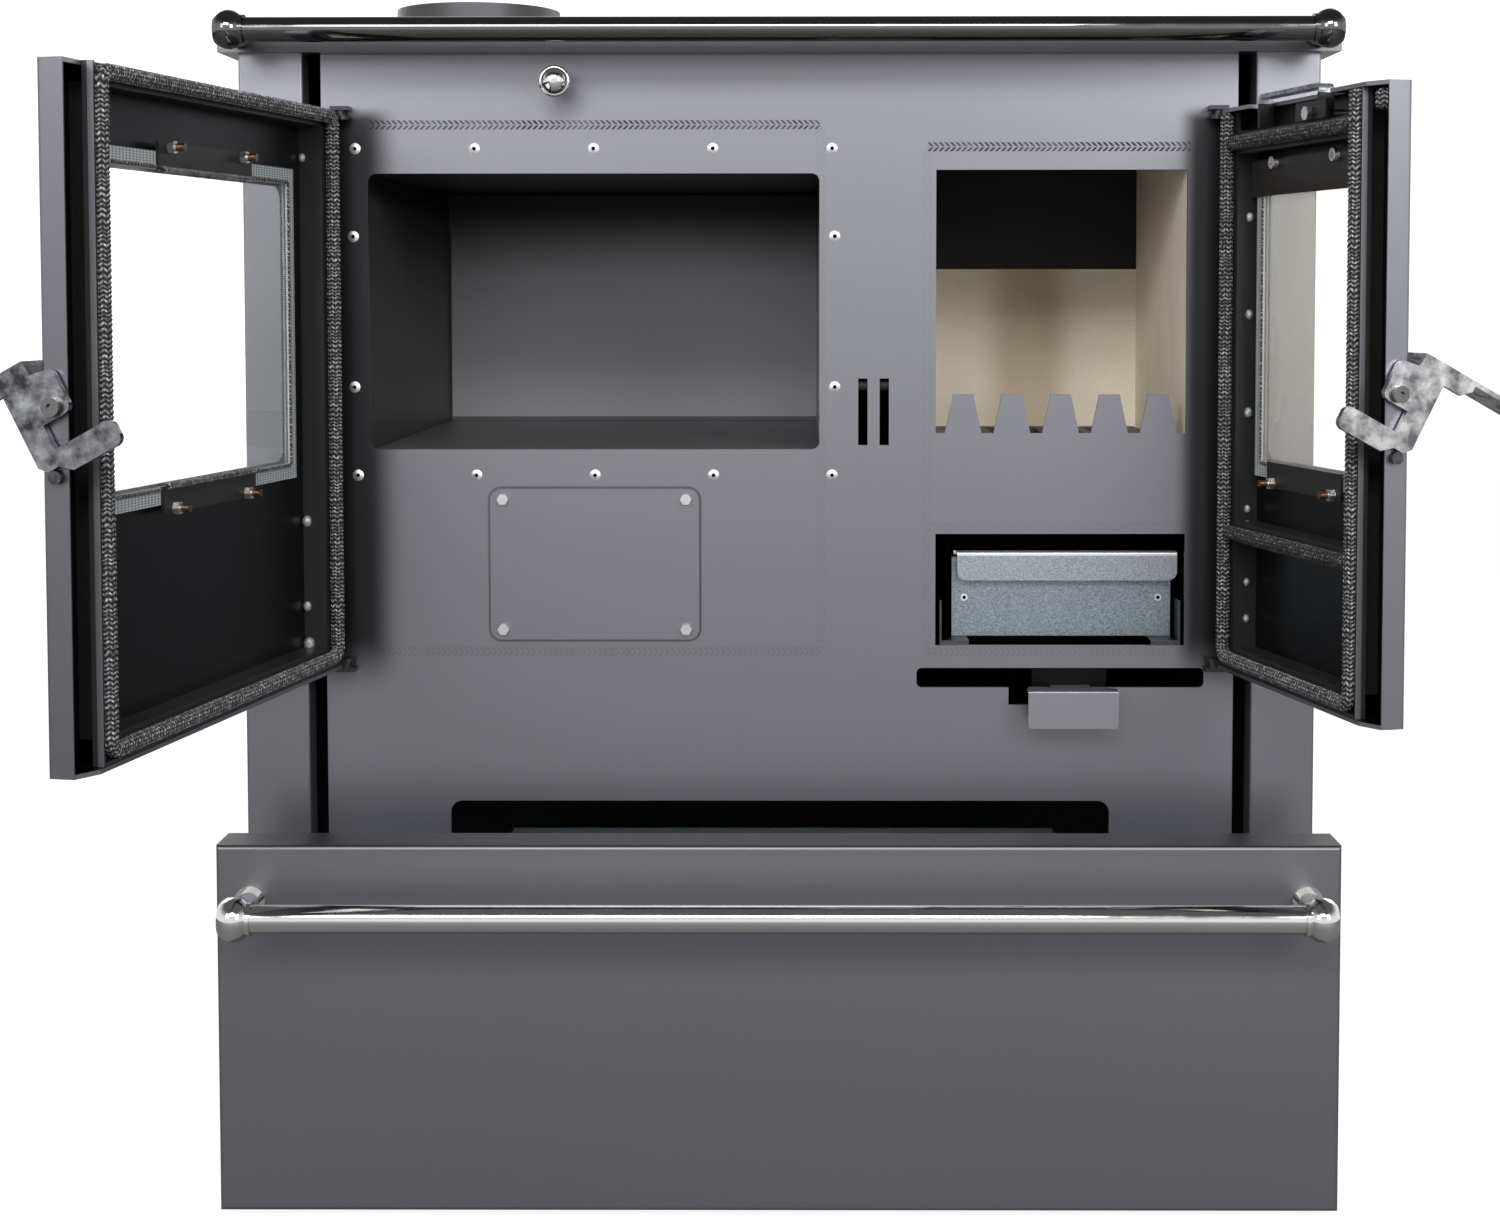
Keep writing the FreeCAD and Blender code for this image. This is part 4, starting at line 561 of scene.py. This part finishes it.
def rubbed_strip(name, level):
    """Black paint below a level and worn bright steel above it."""
    material = heat_paint(name, (0.013, 0.0125, 0.0125), 0.30, 0.42, 0.3)
    tree = material.node_tree
    shader = tree.nodes["Principled BSDF"]
    place = add_node(tree, "ShaderNodeTexCoord").outputs["Object"]
    height = axes(tree)[2]
    worn = add_range(tree, add_noise(tree, place, 160.0, 3.0), 0.35, 0.6, 0.25, 1.0)
    bright = add_math(tree, "MULTIPLY", add_math(tree, "GREATER_THAN", height, level), worn)
    repaint(material, bright, (0.52, 0.54, 0.56, 1.0))
    join(tree, add_range(tree, bright, 0.0, 1.0, 0.3, 1.0), shader, "Metallic")
    return material


rubbed_level = 0.7895
dress(rubbed_strip("air_wash_paint", rubbed_level), "air_wash_slider")


# Door glass: clear ceramic panes, warmer and hazier over the fire than over the oven, each edged with a
# woven glass-fibre tape and held to its shell by the clips.

def clear_glass(name, tint, haze):
    """Clear ceramic with a share of haze, and faint smears that blur what is seen through it a little."""
    material, tree, shader, place = new_material(name)
    shader.inputs["Base Color"].default_value = tint
    shader.inputs["Transmission Weight"].default_value = 1.0 - haze
    shader.inputs["IOR"].default_value = 1.45
    smear = add_noise(tree, place, 14.0, 3.0)
    join(tree, add_range(tree, smear, 0.4, 0.75, 0.0, 0.03), shader, "Roughness")
    return material


def woven_tape(name, door):
    """Diagonal weave: threads slanted both ways across the door's own plane, raised in a checker."""
    material, tree, shader, _ = new_material(name)
    x, _, z = door_places(tree, door)
    run = add_math(tree, "MULTIPLY", x, 2 * math.pi / weave_run)
    rise = add_math(tree, "MULTIPLY", z, 2 * math.pi / weave_rise)
    warp = add_math(tree, "SINE", add_math(tree, "ADD", run, rise))
    weft = add_math(tree, "SINE", add_math(tree, "SUBTRACT", run, rise))
    crown = add_range(tree, add_math(tree, "MULTIPLY", warp, weft), -0.6, 0.6, 0.0, 1.0)
    join(tree, add_mix(tree, crown, (0.20, 0.22, 0.225, 1.0), (0.52, 0.56, 0.58, 1.0)), shader, "Base Color")
    shader.inputs["Roughness"].default_value = 0.75
    join(tree, add_bump(tree, crown, 0.6, 0.0006), shader, "Normal")
    return material


weave_run = 0.0085
weave_rise = 0.0032
dress(clear_glass("oven_glass", (0.97, 0.985, 0.98, 1.0), 0.06), "oven_door_glass")
dress(clear_glass("fire_glass", (0.985, 0.96, 0.895, 1.0), 0.20), "fire_door_glass")
for door in doors:
    dress(woven_tape(door + "_tape_weave", door), door + "_glass_tape")


# Door ropes: plaited glass-fibre rope, dark grey with pale flecks, pressed into the frames' channels. Two
# sooty lengths cross the fire door.

def door_points(door, points):
    """Points given with the door closed, turned about the hinge to where the door stands."""
    hinge, angle = door_turn(door)
    x = points[..., 0] - hinge.x
    y = points[..., 1] - hinge.y
    turned = np.empty_like(points)
    turned[..., 0] = hinge.x + x * math.cos(angle) - y * math.sin(angle)
    turned[..., 1] = hinge.y + x * math.sin(angle) + y * math.cos(angle)
    turned[..., 2] = points[..., 2]
    return turned


def rounded_line(corners, bend, step, closed):
    """Points at an even step along straight runs joined by quarter arcs of radius bend."""
    corners = np.array(corners, float)
    count = len(corners)
    pieces = []
    for index in range(count if closed else count - 1):
        start, stop = corners[index], corners[(index + 1) % count]
        run = (stop - start) / np.linalg.norm(stop - start)
        begin = start + run * (bend if closed or index > 0 else 0.0)
        last = not closed and index == count - 2
        end = stop - run * (0.0 if last else bend)
        pieces.append(np.linspace(begin, end, 2))
        if not last:
            turn = corners[(index + 2) % count] - stop
            turn = turn / np.linalg.norm(turn)
            sweep = np.linspace(0.0, math.pi / 2, 9)[1:-1, None]
            pieces.append(end + turn * bend * (1 - np.cos(sweep)) + run * bend * np.sin(sweep))
    line = np.concatenate(pieces + ([pieces[0][:1]] if closed else []))
    lengths = np.concatenate([[0.0], np.cumsum(np.linalg.norm(np.diff(line, axis=0), axis=1))])
    along = np.linspace(0.0, lengths[-1], int(lengths[-1] / step) + 1)
    points = np.stack([np.interp(along, lengths, line[:, axis]) for axis in range(line.shape[1])], axis=1)
    return points, along


def grid_faces(rows, columns):
    """Four-cornered faces between rows of points, with each row's last point joined to its first."""
    index = np.arange(rows * columns).reshape(rows, columns)
    index = np.concatenate([index, index[:, :1]], axis=1)
    corners = [index[:-1, :-1], index[:-1, 1:], index[1:, 1:], index[1:, :-1]]
    return np.stack(corners, axis=-1).reshape(-1, 4)


def new_piece(name, points, faces):
    """A smoothly shaded object made of points and faces."""
    mesh = bpy.data.meshes.new(name)
    mesh.from_pydata(points.reshape(-1, 3).tolist(), [], faces.tolist())
    mesh.shade_smooth()
    piece = bpy.data.objects.new(name, mesh)
    bpy.context.scene.collection.objects.link(piece)
    return piece


def plaited_rope(name, door, corners, depth, radius, closed, pitch=0.0029, relief=0.0011):
    """A tube whose radius rises and falls in chevrons: the ridge height is the cosine of the distance
    along the rope, with a slow uneven drift, plus a triangle wave round it, and each end of an open rope
    is drawn in to a point."""
    line, along = rounded_line(corners, min(0.008, 1.6 * radius), pitch / 4, closed)
    columns, strands = (42, 6) if radius > 0.004 else (20, 4)
    lie = 0.55
    tangent = np.gradient(line, axis=0)
    if closed:
        tangent[0] = tangent[-1] = line[1] - line[-2]
    tangent /= np.linalg.norm(tangent, axis=1)[:, None]
    side = np.stack([-tangent[:, 1], tangent[:, 0]], axis=1)
    around = np.arange(columns) * 2 * math.pi / columns
    wave = np.abs((around * strands / (2 * math.pi)) % 1.0 - 0.5) * 2
    seam = np.abs(np.sin(around * strands + 0.3))
    drift = 0.22 * np.sin(along * 171.0) + 0.16 * np.sin(along * 397.0 + 1.3)
    phase = 2 * math.pi * (along[:, None] / pitch + drift[:, None] + lie * wave[None, :])
    ridge = (0.5 + 0.5 * np.cos(phase)) * (0.35 + 0.65 * seam[None, :])
    height = radius - relief + relief * ridge
    if not closed:
        reach = np.minimum(along, along[-1] - along)[:, None]
        height = height * np.sqrt(np.clip(reach / 0.002, 0.02, 1.0))
    out = height * np.cos(around)[None, :]
    up = height * np.sin(around)[None, :]
    points = np.empty((len(line), columns, 3))
    points[..., 0] = line[:, 0:1] + side[:, 0:1] * out
    points[..., 1] = depth + up
    points[..., 2] = line[:, 1:2] + side[:, 1:2] * out
    piece = new_piece(name, door_points(door, points), grid_faces(len(line), columns))
    layer = piece.data.attributes.new("ridge", "FLOAT", "POINT")
    layer.data.foreach_set("value", ridge.astype(np.float32).ravel())
    return piece


def rope_material(name, crown_tone, fleck_tone):
    """Dark fibre: nearly black between the strands, grey on the crowns, with scattered pale flecks."""
    material, tree, shader, place = new_material(name)
    ridge = add_node(tree, "ShaderNodeAttribute", attribute_name="ridge").outputs["Fac"]
    crown = add_range(tree, ridge, 0.25, 0.9, 0.0, 1.0)
    uneven = add_range(tree, add_noise(tree, place, 330.0, 2.0), 0.35, 0.65, 0.25, 1.0)
    crown = add_math(tree, "MULTIPLY", crown, uneven)
    tone = add_mix(tree, crown, (0.003, 0.003, 0.0035, 1.0), crown_tone)
    fleck = add_range(tree, add_noise(tree, place, 420.0, 2.0), 0.46, 0.60, 0.0, 1.0)
    fleck = add_math(tree, "MULTIPLY", fleck, crown)
    join(tree, add_mix(tree, fleck, tone, fleck_tone), shader, "Base Color")
    shader.inputs["Roughness"].default_value = 0.8
    join(tree, add_bump(tree, add_noise(tree, place, 1600.0, 2.0), 0.5, 0.0004), shader, "Normal")
    return material


fibre = rope_material("rope_fibre", (0.30, 0.30, 0.31, 1.0), (0.80, 0.80, 0.81, 1.0))
sooty_fibre = rope_material("sooty_fibre", (0.085, 0.085, 0.088, 1.0), (0.42, 0.42, 0.42, 1.0))
for door in doors:
    node = door + "_door_rope"
    low, high = closed_box(door, node)
    radius = (high[1] - low[1]) / 2
    depth = (high[1] + low[1]) / 2
    left, right = low[0] + radius, high[0] - radius
    bottom, top = low[2] + radius, high[2] - radius
    if door == "oven":
        runs = [([(left, bottom), (right, bottom), (right, top), (left, top)], True, fibre)]
    else:
        runs = [([(left, high[2]), (left, bottom), (right, bottom), (right, high[2])], False, fibre)]
        for level in (fire_field_middle, fire_field[3]):
            runs.append(([(left + radius, level), (right - radius, level)], False, sooty_fibre))
    for number, (corners, closed, material) in enumerate(runs, 1):
        rope = plaited_rope("%s_%d" % (node, number), door, corners, depth, radius, closed)
        rope.data.materials.append(material)
        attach(rope, door + "_door")
        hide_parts(node)


# Rope plug: a cut end of the same rope, stuffed into the top of the fold along the fire door's free side.
# It stands upright, and friction holds it.

plug_x = door_turn("fire")[0].x - 0.2315
plug_depth = -0.0165
plug_radius = 0.0060
plug = plaited_rope("fire_rope_plug", "fire", [(plug_x, 0.7725), (plug_x, 0.7865)], plug_depth, plug_radius,
                    False)
plug.data.materials.append(fibre)
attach(plug, "fire_door")


# Tape edging: the fine plaited selvage of the woven tape, paler than the ropes.
# It stands up along the tape's inner edge on the glass.

selvage_fibre = rope_material("selvage_fibre", (0.46, 0.41, 0.41, 1.0), (0.84, 0.79, 0.78, 1.0))
selvage_radius = 0.0015
selvage_inset = 0.0112 - selvage_radius
for door in doors:
    low, high = closed_box(door, door + "_glass_tape")
    left, right = low[0] + selvage_inset, high[0] - selvage_inset
    bottom, top = low[2] + selvage_inset, high[2] - selvage_inset
    selvage = plaited_rope(door + "_tape_selvage", door,
                           [(left, bottom), (right, bottom), (right, top), (left, top)],
                           high[1], selvage_radius, True, 0.0030, 0.0006)
    selvage.data.materials.append(selvage_fibre)
    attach(selvage, door + "_door")


# Packing cords: thin pale plaited cord, tucked along the inner edges of the oven door's glass clips.
# Each of the two is as long as its clip.

pale_fibre = rope_material("pale_fibre", (0.44, 0.44, 0.45, 1.0), (0.92, 0.92, 0.92, 1.0))
low, high = closed_box("oven", "oven_glass_clips")
packing_radius = 0.0026
packing_depth = high[1] + packing_radius * 0.7
clip_height = 0.018
for number, level in enumerate((low[2] + clip_height, high[2] - clip_height), 1):
    packing = plaited_rope("oven_clip_cord_%d" % number, "oven", [(low[0], level), (high[0], level)],
                           packing_depth, packing_radius, False, 0.0030, 0.0008)
    packing.data.materials.append(pale_fibre)
    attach(packing, "oven_door")


# Weld beads: small pale drops of weld metal, left bare in a row beside the hinges where the frames join
# the shells. Each is half sunk in the corner.

def weld_beads(name, door, places):
    """Half-buried balls: rows of points by latitude and longitude on each sphere, one sphere per place,
    drawn out upwards along the seam; each place is (X, Y, Z, radius) with the door closed."""
    rows, columns = 9, 12
    latitude = np.linspace(0.0, math.pi, rows)[:, None]
    longitude = np.arange(columns)[None, :] * 2 * math.pi / columns
    ball = np.stack([np.sin(latitude) * np.cos(longitude), np.sin(latitude) * np.sin(longitude),
                     1.3 * np.cos(latitude) * np.ones_like(longitude)], axis=-1)
    points = np.concatenate([ball * radius + np.array([x, y, z]) for x, y, z, radius in places])
    faces = [grid_faces(rows, columns) + number * rows * columns for number in range(len(places))]
    return new_piece(name, door_points(door, points), np.concatenate(faces))


bead_metal = bare_metal("bead_metal", (0.66, 0.69, 0.67), (0.36, 0.38, 0.37), 0.62, 0.80, 500.0)
bead_levels = {"fire": ((0.711, 0.0028), (0.640, 0.0028), (0.568, 0.0030), (0.497, 0.0024),
                        (0.484, 0.0036), (0.443, 0.0024), (0.416, 0.0024), (0.387, 0.0028)),
               "oven": ((0.755, 0.0026), (0.488, 0.0034), (0.425, 0.0030), (0.397, 0.0040))}
bead_corner = {"fire": (-0.0264, -0.0208), "oven": (0.0268, -0.0272)}
shell_inside = -0.0288
for door, levels in bead_levels.items():
    reach, depth = bead_corner[door]
    wall = door_turn(door)[0].x + reach
    places = [(wall, max(depth, shell_inside + radius), level, radius) for level, radius in levels]
    beads = weld_beads(door + "_weld_beads", door, places)
    beads.data.materials.append(bead_metal)
    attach(beads, door + "_door")


# Latch levers and door screws: each lever is cut and folded plate, zinc plated, with a cloudy patina. It
# turns on a bolt in its door's free edge, over a dark stop screw; the air-wash strip's bolt is bright.

oven_zinc = bare_metal("oven_latch_zinc", (0.42, 0.43, 0.455), (0.055, 0.051, 0.062), 0.14, 0.32, 80.0)
fire_zinc = bare_metal("fire_latch_zinc", (0.77, 0.77, 0.78), (0.17, 0.165, 0.18), 0.14, 0.32, 95.0)
dress(oven_zinc, "oven_latch_lever")
dress(fire_zinc, "fire_latch_lever")
pivot_bolts = (0.58, 0.19)
guide_bolts = (0.765, 0.78)
for door in doors:
    screws = bare_metal(door + "_screw_steel", (0.16, 0.16, 0.165), (0.06, 0.06, 0.063), 0.22, 0.40, 200.0)
    tree = screws.node_tree
    height = axes(tree)[2]
    for level, tone in (pivot_bolts, guide_bolts):
        repaint(screws, add_math(tree, "GREATER_THAN", height, level), (tone, tone, tone, 1.0))
    dress(screws, door + "_door_screws")


# Setting: a pale floor and a white backdrop, with soft light from above and in front and dimmer light from
# behind, seen by the photograph's camera.

def soft_light(name, place, target, width, height, power):
    """A flat rectangular lamp turned towards a point."""
    lamp = bpy.data.lights.new(name, "AREA")
    lamp.shape = "RECTANGLE"
    lamp.size = width
    lamp.size_y = height
    lamp.energy = power
    light = bpy.data.objects.new(name, lamp)
    light.location = place
    light.rotation_euler = (Vector(target) - Vector(place)).to_track_quat("-Z", "Y").to_euler()
    bpy.context.scene.collection.objects.link(light)


def seen_directly(tree):
    """One for what the camera sees itself or through glass."""
    rays = add_node(tree, "ShaderNodeLightPath").outputs
    return add_math(tree, "MAXIMUM", rays["Is Camera Ray"], rays["Is Transmission Ray"])


def lift_behind_glass(tree, strength):
    """Makes up for the light that the panes take from the pale backdrop."""
    behind = add_node(tree, "ShaderNodeLightPath").outputs["Is Transmission Ray"]
    return add_math(tree, "MULTIPLY", strength, add_range(tree, behind, 0.0, 1.0, 1.0, 1.45))


floor_mesh = bpy.data.meshes.new("floor")
floor_mesh.from_pydata([(-6, -6, 0), (6, -6, 0), (6, 6, 0), (-6, 6, 0)], [], [(0, 1, 2, 3)])
floor = bpy.data.objects.new("floor", floor_mesh)
bpy.context.scene.collection.objects.link(floor)
floor_material, floor_tree, floor_shader, _ = new_material("floor")
floor_shader.inputs["Base Color"].default_value = (0.20, 0.20, 0.20, 1.0)
floor_shader.inputs["Roughness"].default_value = 0.8
floor_shader.inputs["Emission Color"].default_value = (1.0, 1.0, 1.0, 1.0)
mirrored = add_node(floor_tree, "ShaderNodeLightPath").outputs["Is Glossy Ray"]
far_glow = add_range(floor_tree, axes(floor_tree)[1], -6.0, -0.4, 0.48, 0.02)
mirror_glow = add_math(floor_tree, "MULTIPLY", mirrored, far_glow)
glow = add_range(floor_tree, seen_directly(floor_tree), 0.0, 1.0, mirror_glow, 0.90)
join(floor_tree, lift_behind_glass(floor_tree, glow), floor_shader, "Emission Strength")
floor_mesh.materials.append(floor_material)

for side in (-1, 1):
    soft_light("key_%d" % (side + 1), (1.55 * side, -2.5, 1.65), (0, 0, 0.55), 1.0, 1.1, 25.0 + 7.5 * side)
    soft_light("rear_fill_%d" % (side + 1), (2.0 * side, 2.4, 1.9), (0, 0.25, 0.5), 1.4, 1.4, 16.0)
soft_light("front_fill", (-0.2, -2.6, 2.2), (0.15, 0.1, 0.6), 1.6, 0.7, 45.0)

world = bpy.data.worlds.new("studio")
world.use_nodes = True
bpy.context.scene.world = world
sky = world.node_tree
direction = add_node(sky, "ShaderNodeTexCoord").outputs["Generated"]
height = add_node(sky, "ShaderNodeSeparateXYZ", {0: direction}).outputs[2]
glossy = add_node(sky, "ShaderNodeLightPath").outputs["Is Glossy Ray"]
wall = add_range(sky, height, 0.25, 0.75, 1.02, 0.12, True)
dim = add_range(sky, glossy, 0.0, 1.0, 0.40, wall)
level = add_range(sky, seen_directly(sky), 0.0, 1.0, dim, 1.25)
join(sky, lift_behind_glass(sky, level), sky.nodes["Background"], "Strength")
sky.nodes["Background"].inputs["Color"].default_value = (1.0, 1.0, 1.0, 1.0)

image_width = 1500
image_height = 1216
focal_pixels = 2146.42
centre_x = 791.23
centre_y = 395.37
lens = bpy.data.cameras.new("photograph")
lens.sensor_width = 36.0
lens.lens = focal_pixels / image_width * lens.sensor_width
lens.shift_x = (image_width / 2 - centre_x) / image_width
lens.shift_y = (centre_y - image_height / 2) / image_width
lens.clip_start = 0.05
camera = bpy.data.objects.new("photograph", lens)
camera.location = (0.0165, -1.6042, 0.6573)
camera.rotation_euler = (math.radians(90 - 2.78), math.radians(0.04), math.radians(0.27))
bpy.context.scene.collection.objects.link(camera)
bpy.context.scene.camera = camera
bpy.context.scene.view_settings.view_transform = "Standard"
